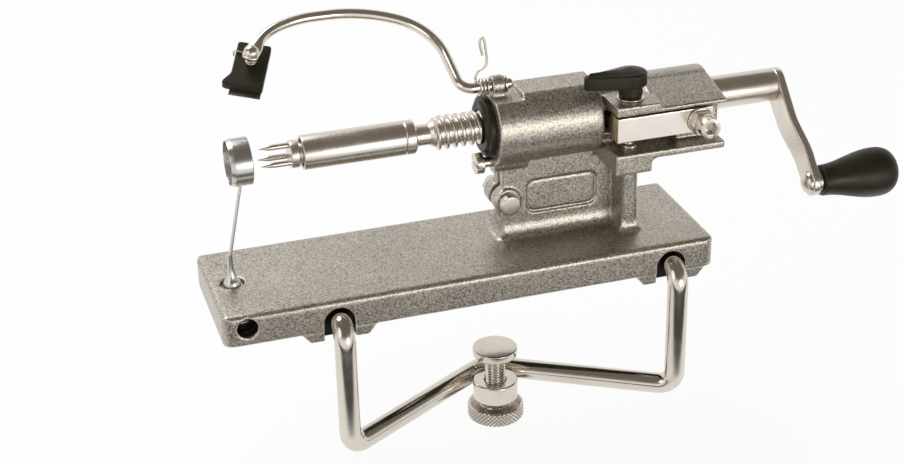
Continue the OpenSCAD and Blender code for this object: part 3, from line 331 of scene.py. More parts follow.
def carried(path, shape, up):
    """Profile carried along a path: path_i + shape_ij0 * side_i + shape_ij1 * across_i.
    The side starts as up and turns only as far as the path does."""
    t = np.gradient(path, axis=0)
    t /= np.linalg.norm(t, axis=1, keepdims=True)
    side = np.empty_like(path)
    s = np.asarray(up, float)
    for i, d in enumerate(t):
        s = s - d * (s @ d)
        s = s / np.linalg.norm(s)
        side[i] = s
    across = np.cross(t, side)
    offset = shape[..., :1] * side[:, None] + shape[..., 1:] * across[:, None]
    return surface(path[:, None] + offset)


def tube(path, radius, edge, step, up=(0, 1, 0), sides=24, press=None):
    """Round rod along a path: radius * (cos a, sin a) at equal steps, with ends rounded as quarter
    circles. press gives a factor for each of the two directions from the share of the length."""
    path = np.asarray(path, float)
    d = np.r_[0, np.cumsum(np.linalg.norm(np.diff(path, axis=0), axis=1))]
    lead = edge * (1 - np.cos(np.linspace(0, np.pi / 2, 7)))
    inner = np.linspace(edge, d[-1] - edge, int(d[-1] / step) + 2)[1:-1]
    s = np.r_[lead, inner, d[-1] - lead[::-1]]
    points = np.stack([np.interp(s, d, c) for c in path.T], -1)
    near = np.clip(np.minimum(s, d[-1] - s), 0, edge)
    r = radius - edge + np.sqrt(np.maximum(edge**2 - (edge - near) ** 2, 0))
    a = np.linspace(0, TURN, sides, endpoint=False)
    shape = r[:, None, None] * np.stack([np.cos(a), np.sin(a)], -1)
    if press is not None:
        shape = shape * press(s / d[-1])[:, None, :]
    return carried(points, shape, up)


def threaded(axis, centre, first, last, lead, start, radii, form, bore, sides=56, run=1.2):
    """Screw thread: column a and row v give along = start + lead * (v + a / turn), held between the
    ends, and radius = root + (crest - root) * height(v), which sinks to the root over the run at
    each end."""
    root, crest = radii
    phase, height = np.array(form).T
    a = np.linspace(0, TURN, sides + 1)
    low = np.floor((first - start) / lead) - 2
    turns = np.arange(low, np.ceil((last - start) / lead) + 2)
    v = (turns[:, None] + phase).ravel()
    along = start + lead * (v[:, None] + a / TURN)
    fade = np.clip(np.minimum(along - first, last - along) / run, 0, 1)
    r = root + (crest - root) * np.tile(height, len(turns))[:, None] * fade
    rim = np.ones((1, sides + 1))
    r = np.vstack([rim * bore, r, rim * bore])
    along = np.vstack([rim * first, np.clip(along, first, last), rim * last])
    return surface(around(axis, centre, along, r, a), wrap=False, loop=bore > 0, caps=False)


def hex_nut(flats, low, high, bore, axis, centre):
    """Hexagon nut with turned corners: its side lies at r(a) = flats / 2 / cos(a mod 60 - 30)
    degrees, and its ends drop by 0.58 * (r - 0.485 flats)."""
    a = np.linspace(0, TURN, 144, endpoint=False)
    face = 0.485 * flats
    r = flats / 2 / np.cos(a % (np.pi / 3) - np.pi / 6)
    drop = 0.58 * np.maximum(r - face, 0)
    radii = np.stack(np.broadcast_arrays(bore, face, r, r, face, bore))
    along = np.stack(np.broadcast_arrays(high, high, high - drop, low + drop, low, low))
    return surface(around(axis, centre, along, radii, a + np.pi / 6), loop=True)


def teardrop(reach, r0, r1, n=24):
    """Outline of two circles with their common tangents, and for each point its foot on the line of
    centres."""
    a = np.arcsin((r0 - r1) / reach)
    t0 = np.linspace(-np.pi / 2 - a, np.pi / 2 + a, 2 * n)
    t1 = np.linspace(np.pi / 2 + a, 3 * np.pi / 2 - a, n)
    hub, tip = np.zeros(2), np.array([-reach, 0])
    circles = ((t0, r0, hub), (t1, r1, tip))
    arcs = [np.stack([np.cos(t), np.sin(t)], -1) * r + c for t, r, c in circles]
    k = np.linspace(0, 1, n)[1:-1, None]
    upper = arcs[0][-1] * (1 - k) + arcs[1][0] * k
    lower = arcs[1][-1] * (1 - k) + arcs[0][0] * k
    there, back = hub * (1 - k) + tip * k, tip * (1 - k) + hub * k
    feet = [np.tile(hub, (2 * n, 1)), there, np.tile(tip, (n, 1)), back]
    return np.vstack([arcs[0], upper, arcs[1], lower]), np.vstack(feet)


def slab(outline, feet, rows):
    """Slab of an outline: a row (inset, share, height) stands at foot + k * (outline - foot) with
    k = 1 - inset / r - share, so a share of 1 closes it on its line of feet."""
    arm = outline - feet
    r = np.linalg.norm(arm, axis=1)
    inset, share, height = (np.array(c, float)[:, None] for c in zip(*rows))
    k = np.clip(1 - inset / r - share, 0, 1)
    flat = feet + arm * k[..., None]
    return np.concatenate([flat, np.broadcast_to(height, k.shape)[..., None]], -1)


def plate(outline, rows):
    """Plate of an outline: a row (inset, height) lies inside the outline by the inset along the
    corner's normal."""
    p = np.asarray(outline, float)
    step = np.roll(p, -1, 0) - np.roll(p, 1, 0)
    normal = np.stack([step[:, 1], -step[:, 0]], -1)
    normal /= np.maximum(np.linalg.norm(normal, axis=1, keepdims=True), 1e-9)
    inset, height = (np.array(c, float)[:, None, None] for c in zip(*rows))
    flat = p - normal * inset
    return np.concatenate([flat, np.broadcast_to(height, flat.shape[:2] + (1,))], -1)


def rounded_edge(low, high, edge, steps=4, rim=0.3):
    """Rows (inset, height) of a rounded edge on both sides of a plate, each with a narrow flat rim
    inside it."""
    a = np.linspace(0, np.pi / 2, steps)
    lower = np.stack([edge * (1 - np.sin(a)), low + edge * (1 - np.cos(a))], -1)
    lower = np.vstack([[edge + rim, low], lower])
    upper = lower[::-1] * [1, -1] + [0, low + high]
    return np.vstack([lower, upper])


def moved(part, matrix):
    """Mesh part through a matrix in millimetres."""
    points, faces = part
    m = np.array(matrix)
    return points @ m[:3, :3].T + m[:3, 3], faces


# Pieces


RECORD = frame["record"]
BODY_OF = {node: body for body, nodes in RECORD["behaviour"]["bodies"].items() for node in nodes}
SLOT_OF = {row["node"]: row["material_slot"] for row in RECORD["subparts"]}


def add_piece(node, mesh, finish=None):
    """Puts a mesh into the scene in place of a node: on the node's body, with its slot's finish or
    another one."""
    piece = bpy.data.objects.new(node + "_skin", mesh)
    bpy.context.scene.collection.objects.link(piece)
    mesh.materials.clear()
    mesh.materials.append(FINISHES[finish or SLOT_OF[node]])
    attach(piece, BODY_OF[node])
    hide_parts(node)
    return piece


def build(node, parts, sharp=38, finish=None):
    """One piece in place of a node from mesh parts in millimetres, with doubles merged and faces
    turned outwards."""
    points, faces, start = [], [], 0
    for p, f in parts:
        points.append(p)
        faces += [[k + start for k in face] for face in f]
        start += len(p)
    mesh = bpy.data.meshes.new(node + "_skin")
    mesh.from_pydata((np.vstack(points) * MM).tolist(), [], faces)
    bm = bmesh.new()
    bm.from_mesh(mesh)
    bmesh.ops.remove_doubles(bm, verts=bm.verts, dist=2e-7)
    bmesh.ops.dissolve_degenerate(bm, edges=bm.edges, dist=1e-8)
    loose = [e for e in bm.edges if not e.link_faces]
    bmesh.ops.delete(bm, geom=loose, context="EDGES")
    bmesh.ops.recalc_face_normals(bm, faces=bm.faces)
    bm.to_mesh(mesh)
    bm.free()
    mesh.shade_smooth()
    mesh.set_sharp_from_angle(angle=np.radians(sharp))
    return add_piece(node, mesh, finish)


def merged(node):
    """Copy of a node's mesh with its doubles merged."""
    bm = bmesh.new()
    bm.from_mesh(frame["nodes"][node].data)
    bmesh.ops.remove_doubles(bm, verts=bm.verts, dist=1e-6)
    return bm


def softened(node, width=0.35, slack=0.0):
    """Copy of a node with its flat faces joined and its edges eased by a bevel, lower by the slack
    at top and bottom."""
    bm = merged(node)
    low, high = span(node)
    middle, tall = Vector((0, 0, -(low[2] + high[2]) / 2 * MM)), high[2] - low[2]
    squash, level = (1, 1, 1 - 2 * slack / tall), Matrix.Translation(middle)
    bmesh.ops.scale(bm, vec=squash, space=level, verts=bm.verts)
    bmesh.ops.dissolve_limit(bm, angle_limit=np.radians(0.6), verts=bm.verts, edges=bm.edges)
    mesh = bpy.data.meshes.new(node + "_skin")
    bm.to_mesh(mesh)
    bm.free()
    mesh.shade_smooth()
    piece = add_piece(node, mesh)
    ease = piece.modifiers.new("eased_edges", "BEVEL")
    ease.width, ease.segments = width * MM, 3
    ease.limit_method, ease.angle_limit = "ANGLE", np.radians(40)
    ease.harden_normals = True
    return piece


# Finishes


class Wire:
    """A node's output in an expression. Each operation on values adds a Math node."""

    def __init__(self, tree, out=None):
        self.tree, self.out = tree, out

    def put(self, socket, value):
        """Links a wire to a socket, or sets the socket's own value."""
        if isinstance(value, Wire):
            self.tree.links.new(value.out, socket)
        else:
            socket.default_value = value

    def node(self, kind, settings=None, sockets=None, out=0):
        """A node of a type: its settings first, then the values or wires of its sockets."""
        n = self.tree.nodes.new(kind)
        for key, value in (settings or {}).items():
            setattr(n, key, value)
        for key, value in (sockets or {}).items():
            self.put(n.inputs[key], value)
        return Wire(self.tree, n.outputs[out] if len(n.outputs) else None)

    def math(self, operation, a, b):
        """A Math node of two values."""
        return self.node("ShaderNodeMath", {"operation": operation}, {0: a, 1: b})

    def __add__(self, other):
        return self.math("ADD", self, other)

    __radd__ = __add__

    def __sub__(self, other):
        return self.math("SUBTRACT", self, other)

    def __rsub__(self, other):
        return self.math("SUBTRACT", other, self)

    def __mul__(self, other):
        return self.math("MULTIPLY", self, other)

    __rmul__ = __mul__

    def clamped(self, low, high):
        """Value taken from low..high to 0..1 along a smooth step."""
        ends = {"Value": self, "From Min": low, "From Max": high}
        return self.node("ShaderNodeMapRange", {"interpolation_type": "SMOOTHSTEP"}, ends)


def start_finish(name):
    """A new material with its sheet of nodes and the place on the surface."""
    material = bpy.data.materials.new(name)
    material.use_nodes = True
    material.node_tree.nodes.clear()
    sheet = Wire(material.node_tree)
    return material, sheet, sheet.node("ShaderNodeTexCoord", out="Object")


def end_finish(material, sheet, sockets):
    """Feeds the surface shader."""
    shader = sheet.node("ShaderNodeBsdfPrincipled", None, sockets)
    sheet.node("ShaderNodeOutputMaterial", None, {"Surface": shader})
    return material


def scaled(sheet, place, x, y, z):
    """Place with each direction stretched."""
    return sheet.node("ShaderNodeMapping", None, {"Vector": place, "Scale": (x, y, z)})


def noise(sheet, place, scale, detail=2.0, rough=0.5):
    """Soft noise from 0 to 1."""
    sockets = {"Vector": place, "Scale": scale, "Detail": detail, "Roughness": rough}
    return sheet.node("ShaderNodeTexNoise", None, sockets, "Fac")


def marked(sheet, name):
    """Number that a mesh stores at its points."""
    return sheet.node("ShaderNodeAttribute", {"attribute_name": name}, out="Fac")


def seen_by(sheet):
    """Whether a ray comes from the camera, from a reflection, or through a surface."""
    rays = ("Is Camera Ray", "Is Glossy Ray", "Is Transmission Ray")
    return [sheet.node("ShaderNodeLightPath", out=ray) for ray in rays]


def blend(sheet, share, a, b):
    """Colour between two colours."""
    a, b = (c if isinstance(c, Wire) else (*c, 1) for c in (a, b))
    return sheet.node("ShaderNodeMix", {"data_type": "RGBA"}, {0: share, 6: a, 7: b}, 2)


def bump(sheet, height, strength, distance):
    """Normal of a height in metres."""
    sockets = {"Height": height, "Strength": strength, "Distance": distance}
    return sheet.node("ShaderNodeBump", None, sockets)


def shade(colour, k):
    """Colour times a number."""
    return tuple(min(1.0, c * k) for c in colour)


def hammered_lacquer():
    """Hammered lacquer: dimples from cell distances, light grains between dark ones, a painted
    highlight on convex edges and painted shade inside the base's hollow."""
    cast = setting("cast")
    material, sheet, place = start_finish("hammered_lacquer")
    per = 1 / cast.grain
    hard = {"Vector": place, "Scale": per}
    cells = sheet.node("ShaderNodeTexVoronoi", {"feature": "F1"}, hard, "Color")
    flake = sheet.node("ShaderNodeSeparateColor", None, {0: cells}, "Red")
    soft = {"Vector": place, "Scale": per * 0.8, "Smoothness": 0.5}
    dimple = sheet.node("ShaderNodeTexVoronoi", {"feature": "SMOOTH_F1"}, soft, "Distance")
    speck = noise(sheet, place, per * 1.2, 2.0, 0.6)
    patch = noise(sheet, place, 30.0, 3.0)
    edge_highlight, inside = marked(sheet, "edge"), marked(sheet, "hollow")
    share = (flake * 0.5 + speck * 0.5 + patch * 0.2 - dimple * 0.12).clamped(0.22, 0.86)
    colour = blend(sheet, share, tuple(cast.dark), tuple(cast.light))
    # painted highlight: the lacquer is painted lighter on convex edges
    colour = blend(sheet, edge_highlight * 0.6, colour, shade(cast.light, 1.2))
    # painted shade: the base's hollow, arches and screw hole are painted near black
    colour = blend(sheet, inside, colour, tuple(cast.hollow_shade))
    return end_finish(material, sheet, {
        "Base Color": colour,
        "Metallic": 0.88,
        "Roughness": 0.26 + flake * 0.14 + inside * 0.3,
        "Normal": bump(sheet, speck * 0.7 - dimple * 0.5, 0.45, 0.00016),
        "Coat Weight": 0.15,
        "Coat Roughness": 0.2,
    })


def plated(name, colour, gloss, along, marks, shade_attribute=None):
    """Plated metal: fine tool marks along one direction, soft smudges, and a tone that drifts a
    little. shade_attribute names an attribute of the places that are painted darker as shade."""
    material, sheet, place = start_finish(name)
    lines = noise(sheet, scaled(sheet, place, *along), 1.0, 3.0, 0.6)
    smudge = noise(sheet, place, 90.0, 3.0, 0.6)
    drift = noise(sheet, place, 35.0, 2.0)
    tone = (drift * 0.7 + lines * 0.3).clamped(0.25, 0.75)
    plate_colour = blend(sheet, tone, shade(colour, 0.88), shade(colour, 1.06))
    if shade_attribute:
        # painted shade: the plate is darkened where the attribute is high, as in the knob's grooves
        plate_colour = blend(sheet, marked(sheet, shade_attribute), plate_colour, shade(colour, 0.3))
    return end_finish(material, sheet, {
        "Base Color": plate_colour,
        "Metallic": 1.0,
        "Roughness": gloss + smudge.clamped(0.45, 0.8) * 0.10 + lines * 0.06,
        "Normal": bump(sheet, lines, marks, 0.00004),
    })


def layered_bronze():
    """Machined bronze in thin layers from front to back, darker in the joints."""
    colour = tuple(setting("finish").bronze)
    material, sheet, place = start_finish("layered_bronze")
    layers = noise(sheet, scaled(sheet, place, 6.0, 650.0, 6.0), 1.0, 1.0)
    stain = noise(sheet, place, 220.0, 3.0, 0.6)
    joint = layers.clamped(0.42, 0.58)
    tone = blend(sheet, joint, shade(colour, 0.42), shade(colour, 1.15))
    return end_finish(material, sheet, {
        "Base Color": blend(sheet, stain.clamped(0.5, 0.85) * 0.5, tone, shade(colour, 0.6)),
        "Metallic": 0.9,
        "Roughness": 0.30 + stain * 0.2,
        "Normal": bump(sheet, joint, 0.3, 0.0001),
    })


def moulded_plastic():
    """Black plastic: a fine moulded grain, rubbed patches that are a little smoother, and a dusty
    bloom."""
    finish = setting("finish")
    colour = tuple(finish.black)
    material, sheet, place = start_finish("moulded_plastic")
    grain = noise(sheet, place, 2600.0, 3.0, 0.6)
    rubbed = noise(sheet, place, 70.0, 3.0, 0.6).clamped(0.42, 0.68)
    dust = noise(sheet, place, 420.0, 4.0, 0.7).clamped(0.55, 0.8)
    tone = blend(sheet, rubbed, shade(colour, 0.85), shade(colour, 1.5))
    return end_finish(material, sheet, {
        "Base Color": blend(sheet, dust * 0.2, tone, tuple(finish.bloom)),
        "Roughness": 0.42 - rubbed * 0.14 + grain * 0.08,
        "Normal": bump(sheet, grain, 0.22, 0.00008),
        "Specular IOR Level": 0.35,
        "Specular Tint": (*finish.sheen, 1.0),
    })


FINISHES = {}

# A plated finish: its name, its colour's setting, its roughness, its tool marks per metre along X,
# Y and Z, their strength, and the attribute of its painted shade
EVEN = (500.0, 500.0, 500.0)
PLATED = {
    "nickel": ("satin_nickel", "nickel", 0.24, (2600.0, 60.0, 60.0), 0.14),
    "arm_nickel": ("bright_nickel", "nickel", 0.13, EVEN, 0.10),
    "zinc_rod": ("bow_plate", "zinc", 0.13, EVEN, 0.10),
    # the knurled plate gets painted shade in its grooves
    "knurled": ("knurled_plate", "zinc", 0.20, EVEN, 0.10, "groove"),
    "fastener_steel": ("fastener_plate", "steel", 0.20, (700.0, 700.0, 700.0), 0.15),
    "blade_steel": ("ground_steel", "blade", 0.20, (900.0, 120.0, 900.0), 0.25),
    "bright_plate": ("polished_bar", "plate", 0.16, (40.0, 900.0, 2600.0), 0.22),
}


def make_finishes():
    """Makes every finish and gives it to the nodes of its slot."""
    FINISHES["hammertone"] = hammered_lacquer()
    FINISHES["bronze"] = layered_bronze()
    FINISHES["black_plastic"] = moulded_plastic()
    for slot, (name, colour, *rest) in PLATED.items():
        FINISHES[slot] = plated(name, tuple(getattr(setting("finish"), colour)), *rest)
    for node, slot in SLOT_OF.items():
        mesh = frame["nodes"][node].data
        mesh.materials.clear()
        mesh.materials.append(FINISHES[slot])


# Casting


# Feet of the column and of its rib on the base, as lowest X and Y and highest X and Y
COLUMN_FOOT = (24, 0, 81, 14)
RIB_FOOT = (80, -13, 88.5, 14)
# Corner under the rear block: X of its wall, Z of its ceiling, radius of its cove, and the cove's
# ends in Y
BLOCK_CORNER = (88, 64.0, 3.0, (-28.6, 1.6))
MOST_FACES = 185000


def coved_foot(box, floor, r, rise, sunk=1.0):
    """Cove round a rectangle: at an angle a it stands out by r(1 - sin a) at a height of
    rise(1 - cos a), on an outline whose corners are rounded by as much as it stands out. It is sunk
    into the solids."""
    x0, y0, x1, y1 = box
    a = np.linspace(0, np.pi / 2, 9)[::-1]
    out = np.r_[-sunk, r * (1 - np.sin(a)), r, -sunk]
    height = np.r_[rise, rise * (1 - np.cos(a)), -sunk, -sunk] + floor
    t = np.concatenate([np.linspace(k, k + 1, 7) for k in range(4)]) * np.pi / 2
    corner = np.repeat([[x1, y1], [x0, y1], [x0, y0], [x1, y0]], 7, axis=0)
    flat = corner + np.stack([np.cos(t), np.sin(t)], -1) * np.maximum(out, 0)[:, None, None]
    inward = np.sign(corner - corner.mean(0)) * np.minimum(out, 0)[:, None, None]
    tall = np.broadcast_to(height[:, None, None], flat.shape[:2] + (1,))
    return surface(np.concatenate([flat + inward, tall], -1), loop=True)


def coved_corner(x, z, r, ends, sunk=0.8):
    """Cove along Y in the corner of a wall on the left and a ceiling: the arc of radius r about
    (x + r, z - r). It is sunk into both."""
    t = np.linspace(np.pi / 2, np.pi, 9)
    arc = np.stack([x + r + r * np.cos(t), z - r + r * np.sin(t)], -1)
    above = [(x - sunk, z + sunk), (x + r, z + sunk)]
    outline = np.vstack([above, arc, [(x - sunk, z - r)]])
    y = np.array(ends, float)[:, None]
    return surface(np.stack(np.broadcast_arrays(outline[None, :, 0], y, outline[None, :, 1]), -1))


def joined_mesh(bm, parts):
    """Adds mesh parts in millimetres to a working mesh."""
    for points, faces in parts:
        made = [bm.verts.new(p) for p in (points * MM).tolist()]
        for face in faces:
            bm.faces.new([made[k] for k in face])


def points_of(mesh, what="co"):
    """Places of a mesh's points in metres, or their normals."""
    found = np.empty(len(mesh.vertices) * 3)
    mesh.vertices.foreach_get(what, found)
    return found.reshape(-1, 3)


def mark(mesh, name, values):
    """Stores a number at each point of a mesh."""
    layer = mesh.attributes.new(name, "FLOAT", "POINT")
    layer.data.foreach_set("value", values.astype(np.float32))


class PEELER_OT_casting(bpy.types.Operator):
    """Draws the lacquered skin over the casting, with coves where the column meets the base"""

    bl_idname = "peeler.casting"
    bl_label = "Casting"

    def execute(self, context):
        voxel, cove, rise = sizes("cast", "voxel", "cove", "rise")
        bm = merged("casting")
        joined_mesh(bm, [
            coved_foot(COLUMN_FOOT, BASE_TOP, cove, rise),
            coved_foot(RIB_FOOT, BASE_TOP, cove * 0.7, rise * 0.6),
            coved_corner(*BLOCK_CORNER),
        ])
        bmesh.ops.recalc_face_normals(bm, faces=bm.faces)
        mesh = bpy.data.meshes.new("casting_work")
        bm.to_mesh(mesh)
        bm.free()
        mesh.shade_smooth()
        work = bpy.data.objects.new("casting_work", mesh)
        context.scene.collection.objects.link(work)
        skin = work.modifiers.new("skin", "REMESH")
        skin.mode, skin.voxel_size, skin.use_smooth_shade = "VOXEL", voxel * MM, True
        even = work.modifiers.new("even", "SMOOTH")
        even.factor, even.iterations = 0.5, 5
        shown = work.evaluated_get(context.evaluated_depsgraph_get())
        count = len(shown.data.loops) - 2 * len(shown.data.polygons)
        thin = work.modifiers.new("thin", "DECIMATE")
        thin.ratio = min(1.0, MOST_FACES / count)
        level = work.modifiers.new("level", "WEIGHTED_NORMAL")
        level.mode, level.weight = "FACE_AREA", 50
        shown = work.evaluated_get(context.evaluated_depsgraph_get())
        mesh = bpy.data.meshes.new_from_object(shown)
        bpy.data.objects.remove(work)
        mesh.name = "casting_skin"
        self.mark_edges(mesh)
        self.mark_hollow(mesh)
        add_piece("casting", mesh)
        return {"FINISHED"}

    def mark_edges(self, mesh):
        """Attribute edge: the mean curvature 2 * (d . n) / d^2 over a point's edges d, where it is
        convex. The lacquer is painted lighter there as a highlight."""
        co, no = points_of(mesh), points_of(mesh, "normal")
        pair = np.empty(len(mesh.edges) * 2, int)
        mesh.edges.foreach_get("vertices", pair)
        i, j = pair.reshape(-1, 2).T
        d = co[i] - co[j]
        size = (d * d).sum(1) / 2 + 1e-12
        total, links = np.zeros(len(co)), np.zeros(len(co))
        np.add.at(total, i, (d * no[i]).sum(1) / size)
        np.add.at(total, j, (-d * no[j]).sum(1) / size)
        np.add.at(links, np.r_[i, j], 1)
        mark(mesh, "edge", np.clip(total / np.maximum(links, 1) * MM * 1.4 - 0.12, 0, 1))

    def mark_hollow(self, mesh):
        """Attribute hollow: 1 inside the base's walls, in the bow's two arches and in the set
        screw's hole, where the lacquer is painted near black as shade."""
        x, y, z = points_of(mesh).T / MM
        half_x, half_y, ceiling, rim = 115.4, 29.4, 15.9, 0.6
        room = (np.abs(x) < half_x) & (np.abs(y) < half_y) & (z < ceiling) & (z > rim)
        arch_half, arch_top, arch_front = 7.8, 17.3, -33.2
        arch = (np.abs(np.abs(x - BOW_MIDDLE) - BOW_HALF) < arch_half) & (z < arch_top)
        arch &= (y > arch_front) & (y < 0)
        hole_r, hole_front = 5.1, -33.0
        middle = axle("knife_set_screw", "y")[3]
        hole = np.hypot(x - middle[0], z - middle[2]) < hole_r
        hole &= (y > hole_front) & (y < 0)
        mark(mesh, "hollow", room | arch | hole)


class PEELER_OT_bushes(bpy.types.Operator):
    """Turns the front bush and eases the rear bush, the bush's screw and the column's bolt and
    nut"""

    bl_idname = "peeler.bushes"
    bl_label = "Bushes"

    def execute(self, context):
        x0, x1, r, axis = axle("front_bush", "x")
        bore, body, step, flange = 8.1, 11, x0 + 1.5, x0 + 4.5
        ring = [(x0, bore), (x0, r - 2.6), (step, r - 1.1), (step, r), (flange, r)]
        ring += [(flange, body), (x1, body), (x1, bore)]
        build("front_bush", [turned(ring, "x", axis, loop=True, ease=0.45)])
        softened("rear_bush", 0.3)
        softened("bush_screw", 0.5)
        y0, y1, head, centre = axle("bush_clamp_bolt", "y")
        shank, under = 3, y0 + 5
        bolt = [(y0, 0), (y0, head), (under, head), (under, shank), (y1, shank), (y1, 0)]
        build("bush_clamp_bolt", [turned(bolt, "y", centre, ease=0.7)])
        low, high = span("bush_clamp_nut")
        flats, bore = high[0] - low[0] - 1.5, 3.02
        build("bush_clamp_nut", [hex_nut(flats, low[1], high[1], bore, "y", centre)], 25)
        return {"FINISHED"}


# Spindle


class PEELER_OT_spindle(bpy.types.Operator):
    """Turns the shaft and its feed thread"""

    bl_idname = "peeler.spindle"
    bl_label = "Spindle"

    def execute(self, context):
        lead, crest, flank, depth = sizes("spindle", "lead", "crest", "flank", "depth")
        tooth, ease = sizes("spindle", "tooth", "ease")
        x0, x1, r, axis = axle("drive_shaft", "x")
        s0, s1 = axle("feed_screw", "x")[:2]
        neck, core, bore, root = 4.85, 5.2, 5.4, r - depth
        shaft = [(x0, 0), (x0, neck), (s0 + 1, neck), (s0 + 1.5, core), (s1 + 0.1, core)]
        shaft += [(s1 + 0.1, r), (x1, r), (x1, 0)]
        build("drive_shaft", [turned(shaft, "x", axis, ease=ease)])
        half, foot = crest / 2 / lead, flank / lead
        side = [(half * 0.7, 0.97), (half, 0.86), (half + foot * 0.5, 0.45), (half + foot, 0.08)]
        side.append((half + foot * 1.5, 0.0))
        form = [(-p, h) for p, h in side[1::-1]] + [(0, 1.0)] + side
        form += [(1 - p, h) for p, h in side[:1:-1]]
        thread = threaded("x", axis, s0, s1, lead, tooth - lead, (root, r), form, bore)
        inner = neck + 0.02
        flare = [(s0 - 2.2, inner), (s0 - 1.9, 5.0), (s0 - 0.2, root - 0.1), (s0 + 0.4, root)]
        flare.append((s0 + 0.4, inner))
        build("feed_screw", [thread, turned(flare, "x", axis, loop=True, ease=0.5)], 60)
        return {"FINISHED"}


class PEELER_OT_fork(bpy.types.Operator):
    """Turns the fork's hub and prongs"""

    bl_idname = "peeler.fork"
    bl_label = "Fork"

    def execute(self, context):
        x0, x1 = axle("apple_fork", "x")[:2]
        hub_r, hub_x, circle, thick, foot = 6.45, x1 - 4, 4.6, 1.3, x1 - 1
        axis = np.array((0, 0, SPINDLE_Z))
        hub = [(hub_x, 0), (hub_x, hub_r), (x1, hub_r), (x1, 0)]
        prong = [(x0, 0), (x0 + 0.3, 0.25), (x0 + 5, thick), (foot, thick), (foot, 0)]
        parts = [turned(hub, "x", axis, ease=0.6)]
        for a in np.radians([90, 210, 330]):
            centre = axis + [0, circle * np.cos(a), circle * np.sin(a)]
            parts.append(turned(prong, "x", centre, 32, ease=0.8))
        build("apple_fork", parts)
        return {"FINISHED"}


class PEELER_OT_sleeve(bpy.types.Operator):
    """Turns the ejector sleeve and its ring"""

    bl_idname = "peeler.sleeve"
    bl_label = "Ejector sleeve"

    def execute(self, context):
        x0, x1, r, axis = axle("ejector_sleeve", "x")
        bore, neck = 6.65, 4.9
        ring = [(x0, bore), (x0, r), (x1, r), (x1, bore)]
        ease = sizes("spindle", "ease")
        build("ejector_sleeve", [turned(ring, "x", axis, loop=True, ease=ease)])
        x0, x1 = axle("ejector_ring", "x")[:2]
        ring = [(x0, neck), (x0, r - 0.5), (x0 + 0.5, r), (x1 - 1.0, r), (x1, r - 1.0), (x1, neck)]
        build("ejector_ring", [turned(ring, "x", axis, loop=True, ease=0.4)])
        return {"FINISHED"}


# Crank


def crank_frame():
    """Matrix of the crank: its first axis runs up the strip, its second across, its third along the
    spindle."""
    d = setting("crank").drop
    up, along = Vector((0, np.cos(d), np.sin(d))), Vector((1, 0, 0))
    m = Matrix((up, along.cross(up), along)).transposed().to_4x4()
    m.translation = Vector((0, 0, SPINDLE_Z))
    return m


def grip_centre():
    """Point of the grip's axis at the spindle's zero."""
    d, radius = setting("crank").drop, sizes("crank", "radius")
    return np.array((0, -radius * np.cos(d), SPINDLE_Z - radius * np.sin(d)))


class PEELER_OT_crank(bpy.types.Operator):
    """Bends the crank strip and adds its bolt and the grip's pin and collar"""

    bl_idname = "peeler.crank"
    bl_label = "Crank"

    def execute(self, context):
        radius, hub, tip, strip, step = sizes("crank", "radius", "hub", "tip", "strip", "step")
        outline, feet = teardrop(radius, hub / 2, tip / 2, 40)
        edge = [(i, 0, z) for i, z in rounded_edge(0, strip, 0.8)]
        shares = (1, 0.6, 0.3)
        rows = [(0, k, 0) for k in shares] + edge + [(0, k, strip) for k in shares[::-1]]
        points = slab(outline, feet, rows)
        bend = smooth_step(-points[..., 0] / radius, 0.36, 0.42)
        points[..., 2] += axle("crank_arm", "x")[0] + step * bend
        build("crank_arm", [moved(surface(points, caps=False), crank_frame())], 50)
        softened("crank_screw", 0.25)
        x0, x1 = axle("handle_pin", "x")[:2]
        head, head_r, shank, bore = 3, 5.5, 3.5, 3.55
        neck = [(x0 + head, shank), (x1, shank), (x1, 0)]
        pin = np.vstack([domed(x0 + head, head, head_r, 12), neck])
        build("handle_pin", [turned(pin, "x", grip_centre(), 64)], 50)
        x0, x1, r, _ = axle("handle_collar", "x")
        ring = [(x0, bore), (x0, r), (x1, r), (x1, bore)]
        build("handle_collar", [turned(ring, "x", grip_centre(), loop=True, ease=0.4)])
        return {"FINISHED"}


class PEELER_OT_grip(bpy.types.Operator):
    """Turns the pear-shaped grip"""

    bl_idname = "peeler.grip"
    bl_label = "Grip"

    def execute(self, context):
        big, neck = sizes("crank", "grip", "neck")
        x0, x1 = axle("handle_grip", "x")[:2]
        size, rn, rm = x1 - x0, neck / 2, big / 2
        full, power, lip, bore, deep = 0.72, 2.6, 0.9, 3.6, x0 + 30
        t = np.linspace(0, 1, 28)
        rise = rn + (rm - rn) * (1 - np.cos(np.pi * t)) / 2
        swell = np.stack([x0 + lip + (size * full - lip) * t, rise], -1)
        k = np.sin(np.linspace(0, np.pi / 2, 26)[1:])
        fall = rm * np.maximum(1 - k**power, 0) ** (1 / power)
        end = np.stack([x0 + size * (full + (1 - full) * k), fall], -1)
        mouth = [(deep, 0), (deep, bore), (x0, bore), (x0, rn - 0.8), (x0 + 0.25, rn - 0.25)]
        profile = np.vstack([mouth, swell, end])
        build("handle_grip", [turned(profile, "x", grip_centre(), 128)], 50)
        return {"FINISHED"}


# Release


